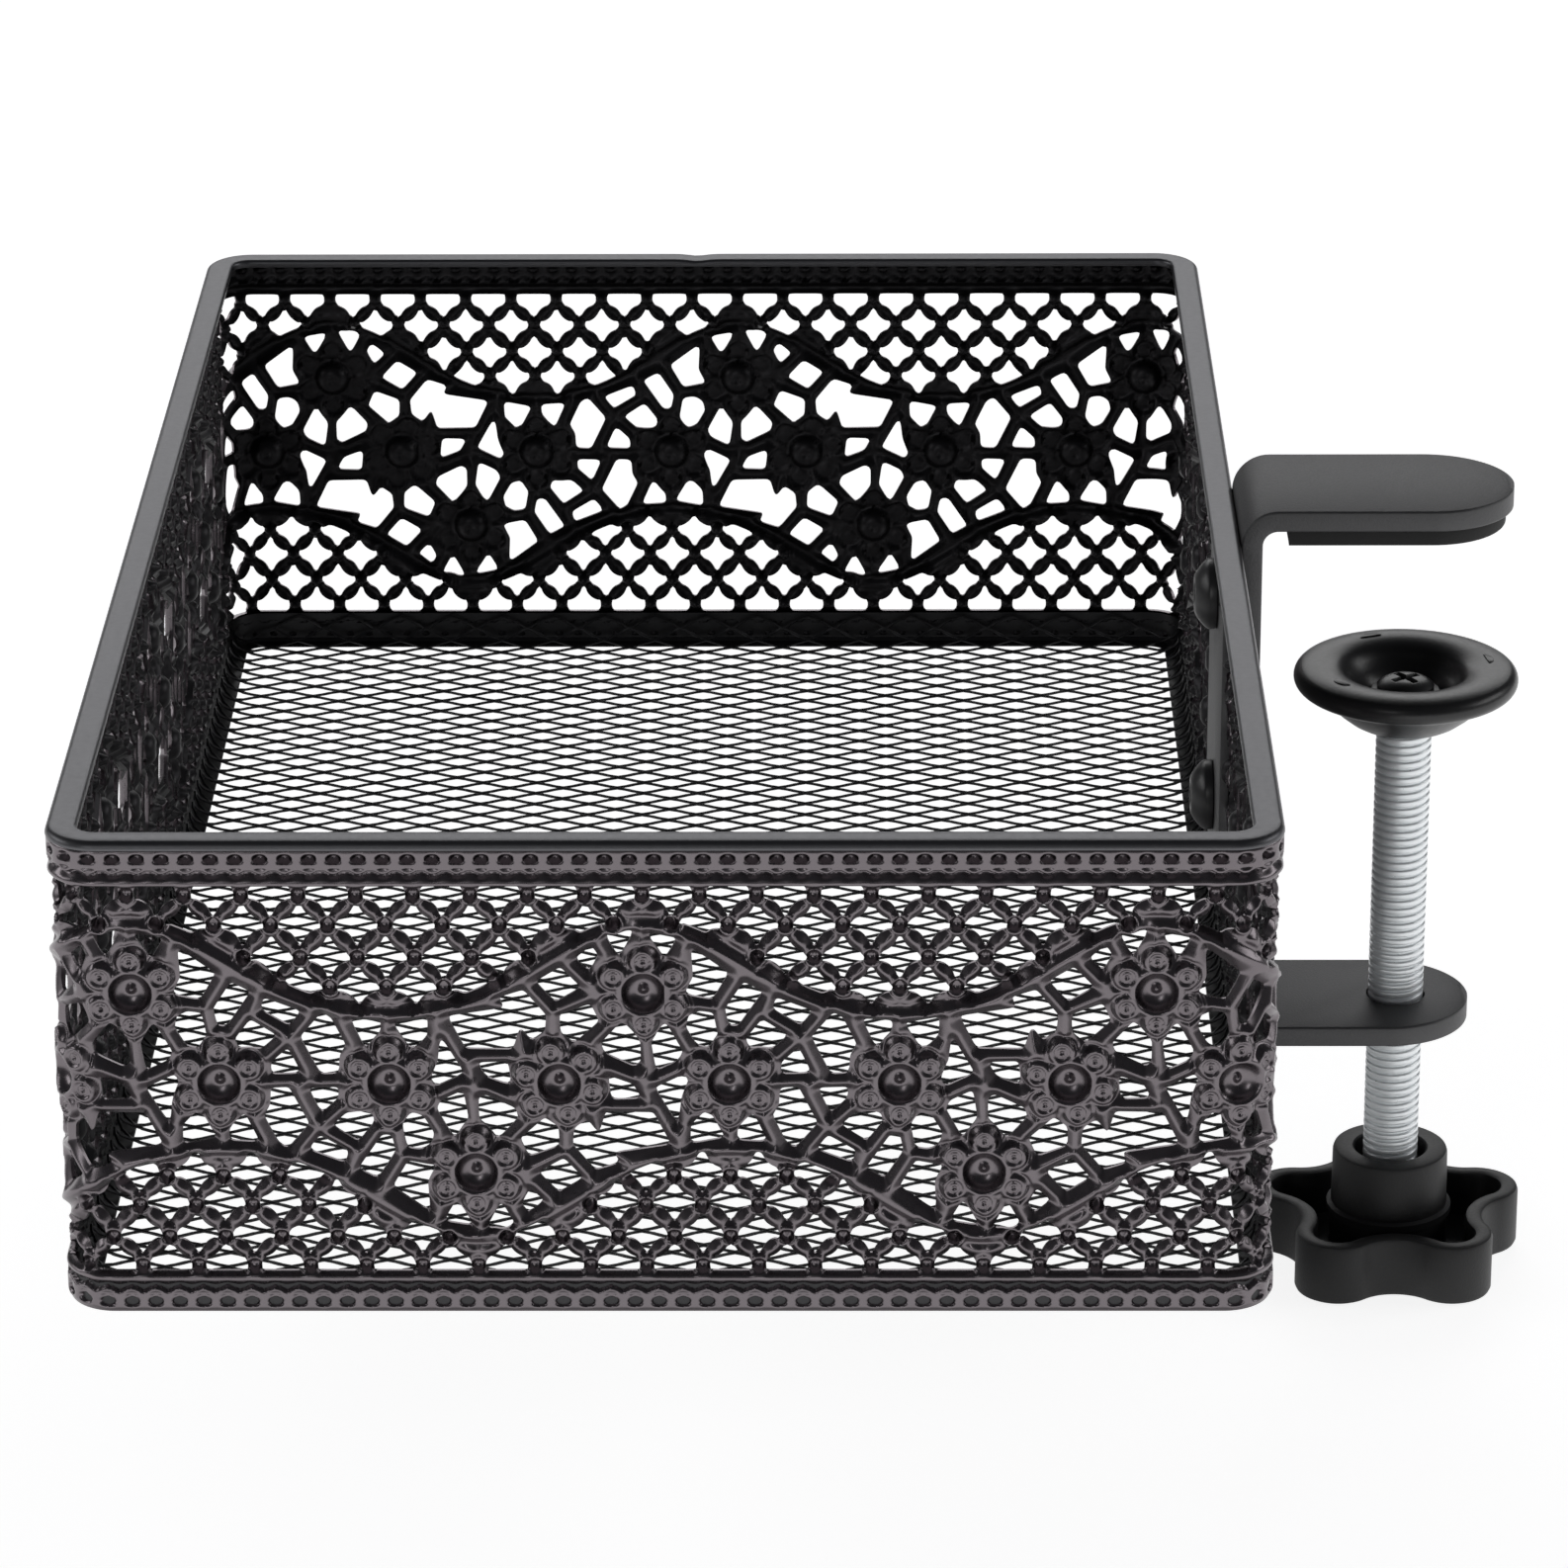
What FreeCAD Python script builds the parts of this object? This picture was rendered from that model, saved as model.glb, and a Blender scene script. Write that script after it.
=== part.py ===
import FreeCAD, Part
import math
import os

import Sketcher

# Clamp-on desk basket: a lace-pattern sheet steel basket hung beside a desk by a C strap and a
# clamp screw. Millimetres, +Z up. The origin is on the clamp screw's axis, at the level where the
# jaw pad lies on the desk top. The desk is on the +X side of the strap, the basket on the -X side,
# and Y runs along the basket's long side.

doc = FreeCAD.newDocument("clamp_on_basket")
V = FreeCAD.Vector

# ---------------------------------------------------------------- driving dimensions

SIZES = {
    "basket_width": 195.0,  # outside, along X
    "basket_depth": 300.0,  # outside, along Y
    "wall_height": 80.6,
    "wall_thick": 1.6,  # sheet with its stamped relief
    "corner_radius": 8.5,
    "rim_width": 4.7,
    "rim_height": 1.4,
    "rim_round": 1.1,
    "floor_thick": 1.2,
    "floor_rise": 0.3,  # the floor's underside above the wall's lower edge
    "hem_radius": 4.5,  # how the floor's edge turns up
    "mesh_long": 10.3,  # pitch of the expanded metal, along X
    "mesh_short": 5.3,  # and along Y
    "strand": 1.35,
    "screw_reach": 30.85,  # basket's outer face to the clamp screw's axis
    "seat_height": 80.6,  # basket's lower edge to the desk top
    "strap_width": 30.5,
    "strap_thick": 3.8,
    "bend_radius": 6.5,  # outer
    "jaw_reach": 48.8,  # basket's outer face to the jaw's tip
    "arm_reach": 43.9,
    "arm_drop": 91.9,  # desk top down to the arm's upper face
    "jaw_pad_thick": 3.0,
    "jaw_pad_start": 8.4,  # from the basket's outer face
    "jaw_pad_inset": 1.3,
    "plate_width": 40.0,
    "plate_height": 64.0,
    "plate_thick": 1.6,
    "fixing_spacing": 38.6,
    "fixing_height": 47.2,  # the pair's middle above the wall's lower edge
    "fixing_shank": 6.0,
    "fixing_head": 12.6,
    "fixing_rim": 1.5,
    "fixing_dome": 2.5,
    "fixing_flat": 6.8,
    "fixing_socket": 4.0,
    "screw_diameter": 10.0,  # M10 x 1.5
    "screw_top": 35.2,  # desk top down to the screw's upper end
    "screw_length": 105.4,
    "running_gap": 0.06,  # radial, screw in the arm
    "pad_diameter": 40.0,
    "pad_top": 27.6,  # desk top down to the pad's face
    "pad_rim": 2.9,
    "pad_height": 11.0,
    "pad_neck": 25.0,
    "pad_foot": 16.8,
    "pad_recess": 19.4,
    "pad_recess_floor": 13.6,
    "pad_recess_depth": 5.8,
    "pad_web": 1.4,
    "pad_socket": 11.2,
    "spacer_outer": 7.0,
    "spacer_height": 2.2,
    "bush_outer": 8.8,
    "bush_height": 1.3,
    "bush_gap": 0.06,  # radial, both sides of the bush
    "washer_outer": 12.0,
    "washer_thick": 0.6,
    "pin_diameter": 5.0,  # the cross-head screw that holds the pad
    "pin_gap": 0.1,
    "pin_head": 10.2,
    "pin_head_height": 2.2,
    "cross_width": 1.3,
    "cross_length": 5.4,
    "cross_depth": 1.3,
    "lobe_circle": 17.6,  # knob lobe centres from the axis
    "lobe_radius": 7.6,
    "valley_radius": 18.0,  # the knob's narrowest, from the axis
    "knob_wall": 3.3,
    "knob_height": 11.7,
    "knob_base": 3.2,
    "hub_diameter": 21.1,
    "hub_height": 22.1,
    "hub_bore": 13.0,
    "hub_bore_depth": 18.6,
    "collar_diameter": 22.8,
    "collar_thick": 1.0,
    "knob_drop": 144.7,  # desk top down to the knob's underside
    "insert_drop": 5.0,  # hub's mouth down to the threaded insert
    "period": 81.0,  # one repeat of the lace
    "lace_start": -84.3,  # first upper flower on the front wall, from its middle
}

sheet = doc.addObject("Spreadsheet::Sheet", "sizes")
for row, (alias, value) in enumerate(SIZES.items(), start=1):
    sheet.set("A%d" % row, alias)
    sheet.set("B%d" % row, str(value))
    sheet.setAlias("B%d" % row, alias)
doc.recompute()


class Cells:
    """Reads a cell's number, for the shapes that are built point by point."""

    def __getattr__(self, alias):
        return float(getattr(sheet, alias))


size = Cells()
nodes = {}

# ---------------------------------------------------------------- small helpers


def formula(rule):
    """An expression over the sheet, from a rule with $name for each cell."""
    for alias in sorted(SIZES, key=len, reverse=True):
        rule = rule.replace("$" + alias, "sizes." + alias)
    return rule


def bind(ob, **rules):
    """Ties properties to rules over the sheet; `_` in a property's name stands for a dot."""
    for name, rule in rules.items():
        ob.setExpression(name.replace("_", "."), formula(rule))
    return ob


def at(ob, x="0", y="0", z="0"):
    lengths = {"Placement_Base_x": x, "Placement_Base_y": y, "Placement_Base_z": z}
    return bind(ob, **{key: "1 mm * (%s)" % rule for key, rule in lengths.items()})


def turned(ob, axis, angle):
    ob.Placement = FreeCAD.Placement(V(0, 0, 0), FreeCAD.Rotation(axis, angle))
    return ob


def box(name, length, width, height, x, y, z):
    """A box centred on x and y, standing on z."""
    ob = doc.addObject("Part::Box", name)
    bind(ob, Length=length, Width=width, Height=height)
    return at(ob, "(%s) - (%s) / 2" % (x, length), "(%s) - (%s) / 2" % (y, width), z)


def cylinder(name, diameter, height, z, x="0", y="0"):
    ob = doc.addObject("Part::Cylinder", name)
    bind(ob, Radius="(%s) / 2" % diameter, Height=height)
    return at(ob, x, y, z)


def cone(name, lower, upper, height, z):
    ob = doc.addObject("Part::Cone", name)
    bind(ob, Radius1="(%s) / 2" % lower, Radius2="(%s) / 2" % upper, Height=height)
    return at(ob, "0", "0", z)


def cut(name, base, *tools):
    """base less each tool in turn."""
    for count, tool in enumerate(tools, start=1):
        last = count == len(tools)
        ob = doc.addObject("Part::Cut", name if last else "%s_%d" % (name, count))
        ob.Base, ob.Tool = base, tool
        base = ob
    return base


def fuse(name, *shapes):
    ob = doc.addObject("Part::MultiFuse", name)
    ob.Shapes = list(shapes)
    return ob


def fillet(name, base, radius, wanted):
    """Rounds base's edges for which wanted(edge) holds."""
    doc.recompute()
    ob = doc.addObject("Part::Fillet", name)
    ob.Base = base
    edges = enumerate(base.Shape.Edges, start=1)
    ob.Edges = [(number, radius, radius) for number, edge in edges if wanted(edge)]
    return ob


def upright(edge):
    first, last = edge.Vertexes[0].Point, edge.Vertexes[-1].Point
    return abs(first.z - last.z) > 0.5 and (first - last).cross(V(0, 0, 1)).Length < 1e-6


def at_height(level):
    return lambda edge: all(abs(v.Point.z - level) < 1e-6 for v in edge.Vertexes)


def node(name, ob):
    """Registers a sub-part: its Label names its file."""
    ob.Label = name
    nodes[name] = ob
    return ob


# levels and faces that many sub-parts share, as formulas
FACE_X = "(-$screw_reach)"  # basket's outer face, beside the desk
BASKET_X = "(-$screw_reach - $basket_width / 2)"
BASE_Z = "(-$seat_height)"
TOP_Z = "(-$seat_height + $wall_height)"

# ---------------------------------------------------------------- lace pattern
# Lengths are in sixths of a period. s runs along the strip as seen from outside, z up from the
# strip's middle line. The pattern looks the same after half a turn about s = 2, z = 0.

UNITS = 6
WINDOWS = [
    [(0.58, 1.68), (0.98, 1.38), (0.80, 1.06), (0.50, 1.12), (0.60, 1.30), (0.52, 1.57)],
    [(1.16, 1.25), (1.38, 1.12), (1.06, 0.70), (0.97, 0.92)],
    [(1.57, 1.06), (1.96, 0.89), (1.84, 0.74), (1.52, 0.91)],
    [(0.62, 0.88), (0.79, 0.85), (0.85, 0.61), (0.76, 0.43), (0.64, 0.45), (0.51, 0.70)],
    [(1.39, 0.77), (1.67, 0.57), (1.51, 0.43), (1.22, 0.43), (1.21, 0.55)],
    [(1.80, 0.40), (1.94, 0.09), (1.62, 0.09), (1.63, 0.23)],
    [(2.24, 0.86), (2.48, 0.48), (2.39, 0.27), (2.38, 0.10), (2.20, 0.10), (1.98, 0.58)],
    [(2.58, 0.77), (2.90, 0.77), (2.89, 0.64), (2.73, 0.44)],
    [(3.09, 0.76), (3.45, 0.80), (3.39, 0.49), (3.26, 0.43)],
    [(3.62, 0.53), (3.86, 0.08), (3.53, -0.05), (3.58, 0.18)],
    [(4.10, 0.95), (4.45, 0.43), (3.94, 0.44), (3.71, 0.83)],
    [(4.57, 1.15), (4.83, 0.85), (4.82, 0.64), (4.66, 0.54), (4.32, 1.05)],
    [(5.02, 1.44), (5.25, 1.19), (4.96, 1.03), (4.76, 1.27)],
    [(5.40, 1.70), (5.47, 1.57), (5.35, 1.43), (5.22, 1.57)],
    [(5.88, 1.92), (5.71, 1.62), (5.59, 1.80)],
    [(5.37, 0.98), (5.47, 0.77), (5.18, 0.50), (5.02, 0.62), (5.03, 0.85)],
    [(5.72, 0.74), (5.95, 0.49), (5.92, 0.21), (5.53, 0.37), (5.51, 0.50)],
    [(0.07, 1.89), (0.37, 1.84), (0.25, 1.59)],
    [(0.25, 0.71), (0.44, 0.35), (0.14, 0.15), (0.10, 0.46)],
    [(4.07, 0.23), (4.37, 0.23), (4.40, -0.03), (4.22, 0.01)],
]
STAR_PITCH = 2 / 3
STAR_ROWS = [2.0, 1.6, 1.2]
STAR_HALF_WIDTH = 0.20
STAR_HALF_HEIGHT = 0.22
FAN_TOP = 2.47
FAN_FOOT = 2.14
WAVE_CLEARANCE = 0.14
SMALLEST_STAR = 0.12


def wave(s):
    """Middle of the upper wave."""
    turn = math.pi * s / 3
    return 1.325 + 0.555 * math.cos(turn) + 0.15 * math.cos(2 * turn)


def upper_openings():
    """Openings of one period's upper half, as lists of (s, z)."""
    shapes = [list(window) for window in WINDOWS]
    for column in range(9):
        middle = (column + 0.5) * STAR_PITCH
        half = STAR_HALF_WIDTH
        shapes.append([(middle - half, FAN_TOP), (middle + half, FAN_TOP), (middle, FAN_FOOT)])
        for row, level in enumerate(STAR_ROWS):
            s = (column + (0 if row % 2 == 0 else 0.5)) * STAR_PITCH
            foot = max(level - STAR_HALF_HEIGHT, wave(s) + WAVE_CLEARANCE)
            if level - foot > SMALLEST_STAR:
                top = level + STAR_HALF_HEIGHT
                shapes.append([(s - half, level), (s, top), (s + half, level), (s, foot)])
    return shapes


def period_openings():
    upper = upper_openings()
    return upper + [[(4 - s, -z) for s, z in shape] for shape in upper]


def panel_face(along, first, last, start, pitch):
    """A flat wall's face, standing on z = 0, with every opening that lies whole between first and
    last. along(distance, z) gives the point, start is where s = 0 and pitch is one period."""
    middle = size.wall_height / 2
    unit = pitch / UNITS
    edge = [(first, 0), (last, 0), (last, size.wall_height), (first, size.wall_height)]
    wires = [Part.makePolygon([along(*point) for point in edge + edge[:1]])]
    for repeat in range(math.floor((first - start) / pitch) - 1, math.ceil((last - start) / pitch) + 1):
        for shape in period_openings():
            points = [(start + repeat * pitch + s * unit, middle + z * unit) for s, z in shape]
            if min(p[0] for p in points) > first + 1 and max(p[0] for p in points) < last - 1:
                wires.append(Part.makePolygon([along(*p) for p in points + points[:1]]))
    return Part.Face(wires)


def lace_wall(name, along, half_length, start, pitch, inward):
    """One flat run of the lace strip between two corners, extruded inward."""
    face = doc.addObject("Part::Feature", name + "_face")
    face.Shape = panel_face(along, -half_length, half_length, start, pitch)
    wall = doc.addObject("Part::Extrusion", name)
    wall.Base = face
    wall.DirMode = "Custom"
    wall.Dir = inward
    wall.Solid = True
    bind(wall, LengthFwd="$wall_thick")
    return wall


half_front = size.basket_width / 2 - size.corner_radius
half_side = size.basket_depth / 2 - size.corner_radius
middle_x = -size.screw_reach - size.basket_width / 2
left_x, right_x = middle_x - size.basket_width / 2, -size.screw_reach
front_y, back_y = -size.basket_depth / 2, size.basket_depth / 2
base_z = -size.seat_height

# the strip runs on round the basket: each wall takes up the pattern where the last one left it
corner_arc = math.pi / 2 * (size.corner_radius - size.wall_thick / 2)
strip = 4 * (half_front + half_side + corner_arc)
pitch = strip / round(strip / size.period)
front_start = size.lace_start
right_start = front_start - half_front - corner_arc - half_side
back_start = right_start - half_side - corner_arc - half_front
left_start = back_start - half_front - corner_arc - half_side

WALLS = {
    "lace_front": (
        lambda d, z: V(middle_x + d, front_y, base_z + z),
        half_front,
        front_start,
        V(0, 1, 0),
    ),
    "lace_right": (lambda d, z: V(right_x, d, base_z + z), half_side, right_start, V(-1, 0, 0)),
    "lace_back": (
        lambda d, z: V(middle_x - d, back_y, base_z + z),
        half_front,
        back_start,
        V(0, -1, 0),
    ),
    "lace_left": (lambda d, z: V(left_x, -d, base_z + z), half_side, left_start, V(1, 0, 0)),
}
walls = {}
for name, (along, half_length, start, inward) in WALLS.items():
    walls[name] = lace_wall(name + "_sheet", along, half_length, start, pitch, inward)


def fixing_hole(name, side):
    """A hole along X through the wall, plate and strap at one of the two fixing screws."""
    hole = doc.addObject("Part::Cylinder", name)
    bind(hole, Radius="$fixing_shank / 2", Height="20 mm")
    turned(hole, V(0, 1, 0), 90)
    level = "%s + $fixing_height + (%d) * $fixing_spacing / 2" % (BASE_Z, side)
    return at(hole, "%s - 10" % FACE_X, "0", level)


for name in WALLS:
    if name == "lace_right":
        holes = [fixing_hole("wall_hole_%d" % n, side) for n, side in enumerate((-1, 1))]
        node(name, cut(name, walls[name], *holes))
    else:
        node(name, walls[name])

CORNERS = {
    "lace_corner_front_left": (-1, -1, 180),
    "lace_corner_front_right": (1, -1, 270),
    "lace_corner_back_right": (1, 1, 0),
    "lace_corner_back_left": (-1, 1, 90),
}
for name, (side_x, side_y, angle) in CORNERS.items():
    x = "%s + (%d) * ($basket_width / 2 - $corner_radius)" % (BASKET_X, side_x)
    y = "(%d) * ($basket_depth / 2 - $corner_radius)" % side_y
    quarters = []
    for part, inset in (("outer", "0"), ("inner", "$wall_thick")):
        quarter = doc.addObject("Part::Cylinder", "%s_%s" % (name, part))
        bind(quarter, Radius="$corner_radius - %s" % inset, Height="$wall_height")
        quarter.Angle = 90
        turned(quarter, V(0, 0, 1), angle)
        quarters.append(at(quarter, x, y, BASE_Z))
    node(name, cut(name, *quarters))

# ---------------------------------------------------------------- rim and floor


def tray(name, inset, lift, height, radius):
    """A box of the basket's outline, inset all round, with rounded upright edges."""
    width = "$basket_width - 2 * (%s)" % inset
    depth = "$basket_depth - 2 * (%s)" % inset
    block = box(name + "_block", width, depth, height, BASKET_X, "0", lift)
    return fillet(name, block, radius, upright)


rim_outer = tray("rim_outer", "0", TOP_Z, "$rim_height", size.corner_radius)
rim_inner = tray(
    "rim_inner", "$rim_width", TOP_Z, "$rim_height", size.corner_radius - size.rim_width
)
rim_bar = cut("rim_bar", rim_outer, rim_inner)
rim_top = base_z + size.wall_height + size.rim_height
node("top_rim", fillet("top_rim", rim_bar, size.rim_round, at_height(rim_top)))

FLOOR_Z = "(%s + $floor_rise)" % BASE_Z
floor_z = base_z + size.floor_rise
dish = tray(
    "dish_outer",
    "$wall_thick",
    FLOOR_Z,
    "$hem_radius",
    size.corner_radius - size.wall_thick,
)
dish_round = fillet("dish_outer_round", dish, size.hem_radius - 0.01, at_height(floor_z))
well = tray(
    "dish_inner",
    "$wall_thick + $floor_thick",
    FLOOR_Z + " + $floor_thick",
    "$hem_radius",
    size.corner_radius - size.wall_thick - size.floor_thick,
)
well_round = fillet(
    "dish_inner_round",
    well,
    size.hem_radius - size.floor_thick - 0.01,
    at_height(floor_z + size.floor_thick),
)
flat_inset = "($wall_thick + $hem_radius)"
flat_width = "$basket_width - 2 * %s" % flat_inset
flat_depth = "$basket_depth - 2 * %s" % flat_inset
flat = box("floor_gap", flat_width, flat_depth, "$hem_radius", BASKET_X, "0", FLOOR_Z)
node("floor_hem", cut("floor_hem", dish_round, well_round, flat))

MESH_BANDS = 8


def mesh_band(number):
    """One band of the floor's expanded metal: a sheet face with diamond openings. The bands meet
    along zigzags that follow the strands, so that together they make one whole sheet."""
    half_x = size.basket_width / 2 - size.wall_thick - size.hem_radius
    half_y = size.basket_depth / 2 - size.wall_thick - size.hem_radius
    long_half, short_half = size.mesh_long / 2, size.mesh_short / 2
    columns = math.floor(half_x / long_half)
    rows = math.floor(half_y / short_half)
    shrink = 1 - 1.15 * size.strand / size.mesh_short
    first = -rows + round(2 * rows * number / MESH_BANDS)
    last = -rows + round(2 * rows * (number + 1) / MESH_BANDS)

    def border(row):
        """The zigzag under the openings of a row, or the sheet's straight edge."""
        if abs(row) == rows:
            level = math.copysign(half_y, row)
            return [(-half_x, level), (half_x, level)]
        steps = range(-columns, columns + 1)
        line = [(step * long_half, (row - 1 + (row + step) % 2) * short_half) for step in steps]
        return [(-half_x, line[0][1])] + line + [(half_x, line[-1][1])]

    def wire(points):
        return Part.makePolygon([V(middle_x + x, y, floor_z) for x, y in points + points[:1]])

    wires = [wire(border(first) + border(last)[::-1])]
    reach_x, reach_y = long_half * shrink, short_half * shrink
    top = last if number < MESH_BANDS - 1 else last + 1
    for row in range(first, top):
        for column in range(-columns, columns + 1):
            x, y = column * long_half, row * short_half
            fits = abs(x) + reach_x < half_x - 0.5 and abs(y) + reach_y < half_y - 0.5
            if fits and (row + column) % 2 == 0:
                wires.append(
                    wire([(x - reach_x, y), (x, y + reach_y), (x + reach_x, y), (x, y - reach_y)])
                )
    return Part.Face(wires)


bands = []
for number in range(MESH_BANDS):
    mesh = doc.addObject("Part::Feature", "mesh_face_%d" % number)
    mesh.Shape = mesh_band(number)
    band = doc.addObject("Part::Extrusion", "mesh_band_%d" % number)
    band.Base = mesh
    band.DirMode = "Custom"
    band.Dir = V(0, 0, 1)
    band.Solid = True
    bands.append(bind(band, LengthFwd="$floor_thick"))
floor = doc.addObject("Part::Compound", "floor_mesh")
floor.Links = bands
node("floor_mesh", floor)

# ---------------------------------------------------------------- clamp strap


def sketch_on(body, role, name):
    plane = [ob for ob in body.Origin.OriginFeatures if ob.Role == role][0]
    sketch = body.newObject("Sketcher::SketchObject", name)
    sketch.AttachmentSupport = (plane, [""])
    sketch.MapMode = "FlatFace"
    return sketch


def add_circle(sketch, x, y, radius, rule):
    """A circle whose radius follows a rule over the sheet."""
    number = sketch.addGeometry(Part.Circle(V(x, y, 0), V(0, 0, 1), radius))
    index = sketch.addConstraint(Sketcher.Constraint("Radius", number, radius))
    sketch.setExpression("Constraints[%d]" % index, formula(rule))
    return number


def rounding(body, name, wanted, rule):
    """Rounds the body's edges for which wanted(edge) holds."""
    base = body.Tip
    edges = enumerate(base.Shape.Edges, start=1)
    names = ["Edge%d" % number for number, edge in edges if wanted(edge)]
    feature = body.newObject("PartDesign::Fillet", name)
    feature.Base = (base, names)
    bind(feature, Radius=rule)
    doc.recompute()


def pocket(body, name, sketch, length):
    """Cuts from the sketch's plane against its normal, and makes sure that it cut something."""
    before = body.Tip.Shape.Volume
    feature = body.newObject("PartDesign::Pocket", name)
    feature.Profile = sketch
    bind(feature, Length=length)
    doc.recompute()
    if not feature.Shape.Volume < before - 1:
        raise RuntimeError(name + " cuts nothing")


def strap_body():
    """A flat bar bent into a C: jaw over the desk, upright beside it, arm below."""
    body = doc.addObject("PartDesign::Body", "clamp_strap_body")
    side = sketch_on(body, "XZ_Plane", "strap_side")
    face, thick = -size.screw_reach, size.strap_thick
    jaw_top = size.jaw_pad_thick + thick
    arm_top = -size.arm_drop
    jaw_tip, arm_tip = face + size.jaw_reach, face + size.arm_reach
    path = [
        (jaw_tip, jaw_top),
        (face, jaw_top),
        (face, arm_top - thick),
        (arm_tip, arm_top - thick),
        (arm_tip, arm_top),
        (face + thick, arm_top),
        (face + thick, jaw_top - thick),
        (jaw_tip, jaw_top - thick),
    ]
    for first, last in zip(path, path[1:] + path[:1]):
        side.addGeometry(Part.LineSegment(V(*first, 0), V(*last, 0)))
    pad = body.newObject("PartDesign::Pad", "strap_bar")
    pad.Profile = side
    pad.Midplane = True
    bind(pad, Length="$strap_width")
    doc.recompute()

    outer = [(face, jaw_top), (face, arm_top - thick)]
    inner = [(face + thick, jaw_top - thick), (face + thick, arm_top)]

    def lies_at(corners):
        return lambda edge: any(
            all((v.Point - V(x, v.Point.y, z)).Length < 1e-6 for v in edge.Vertexes)
            for x, z in corners
        )

    def past_screw(edge):
        return upright(edge) and edge.Vertexes[0].Point.x > 0

    rounding(body, "outer_bends", lies_at(outer), "$bend_radius")
    rounding(body, "inner_bends", lies_at(inner), "$bend_radius - $strap_thick")
    rounding(body, "round_tips", past_screw, "$strap_width / 2 - 0.05")

    thread = sketch_on(body, "XY_Plane", "arm_hole")
    add_circle(thread, 0, 0, size.screw_diameter / 2, "$screw_diameter / 2 + $running_gap")
    pocket(body, "arm_bore", thread, "$arm_drop + 2 * $strap_thick")

    fixing = sketch_on(body, "YZ_Plane", "fixing_holes")
    for side_z in (-1, 1):
        level = base_z + size.fixing_height + side_z * size.fixing_spacing / 2
        add_circle(fixing, 0, level, size.fixing_shank / 2, "$fixing_shank / 2")
    pocket(body, "fixing_bores", fixing, "$screw_reach + $strap_thick")
    return body


node("clamp_strap", strap_body())

pad_length = "($jaw_reach - $jaw_pad_start - $jaw_pad_inset)"
pad_block = box(
    "jaw_pad_block",
    pad_length,
    "$strap_width - 2 * $jaw_pad_inset",
    "$jaw_pad_thick",
    "%s + $jaw_pad_start + %s / 2" % (FACE_X, pad_length),
    "0",
    "0",
)
node(
    "jaw_pad",
    fillet(
        "jaw_pad",
        pad_block,
        size.strap_width / 2 - size.jaw_pad_inset - 0.05,
        lambda edge: upright(edge) and edge.Vertexes[0].Point.x > 0,
    ),
)

# ---------------------------------------------------------------- fixing to the wall

plate_x = "%s - $wall_thick - $plate_thick / 2" % FACE_X
plate_z = "%s + $fixing_height - $plate_height / 2" % BASE_Z
plate_block = box(
    "plate_block", "$plate_thick", "$plate_width", "$plate_height", plate_x, "0", plate_z
)
plate_round = fillet(
    "plate_round",
    plate_block,
    3.0,
    lambda edge: abs(edge.Vertexes[0].Point.x - edge.Vertexes[-1].Point.x) > 0.5,
)
plate_holes = [fixing_hole("plate_hole_%d" % n, side) for n, side in enumerate((-1, 1))]
node("backing_plate", cut("backing_plate", plate_round, *plate_holes))


def fixing_screw(name, side):
    """Button-head screw: head inside the basket, shank through plate, wall and strap."""
    level = "%s + $fixing_height + (%d) * $fixing_spacing / 2" % (BASE_Z, side)
    seat = "%s - $wall_thick - $plate_thick" % FACE_X
    head = doc.addObject("Part::Cylinder", name + "_head")
    bind(head, Radius="$fixing_head / 2", Height="$fixing_rim")
    dome = doc.addObject("Part::Cone", name + "_dome")
    bind(
        dome,
        Radius1="$fixing_flat / 2",
        Radius2="$fixing_head / 2",
        Height="$fixing_dome",
    )
    shank = doc.addObject("Part::Cylinder", name + "_shank")
    bind(
        shank,
        Radius="$fixing_shank / 2",
        Height="$plate_thick + $wall_thick + $strap_thick",
    )
    socket = doc.addObject("Part::Prism", name + "_socket")
    socket.Polygon = 6
    bind(socket, Circumradius="$fixing_socket / 2 / cos(30)", Height="$fixing_dome")
    for ob, start in (
        (head, "%s - $fixing_rim" % seat),
        (dome, "%s - $fixing_rim - $fixing_dome" % seat),
        (shank, seat),
        (socket, "%s - $fixing_rim - $fixing_dome - 0.2" % seat),
    ):
        turned(ob, V(0, 1, 0), 90)
        at(ob, start, "0", level)
    return cut(name, fuse(name + "_body", head, dome, shank), socket)


pair = doc.addObject("Part::Compound", "wall_screws")
pair.Links = [fixing_screw("wall_screw_%d" % n, side) for n, side in enumerate((-1, 1))]
node("wall_screws", pair)

# ---------------------------------------------------------------- clamp screw and its knob

SCREW_FOOT = "(-$screw_top - $screw_length)"
node("clamp_screw", cylinder("clamp_screw", "$screw_diameter", "$screw_length", SCREW_FOOT))


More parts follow.
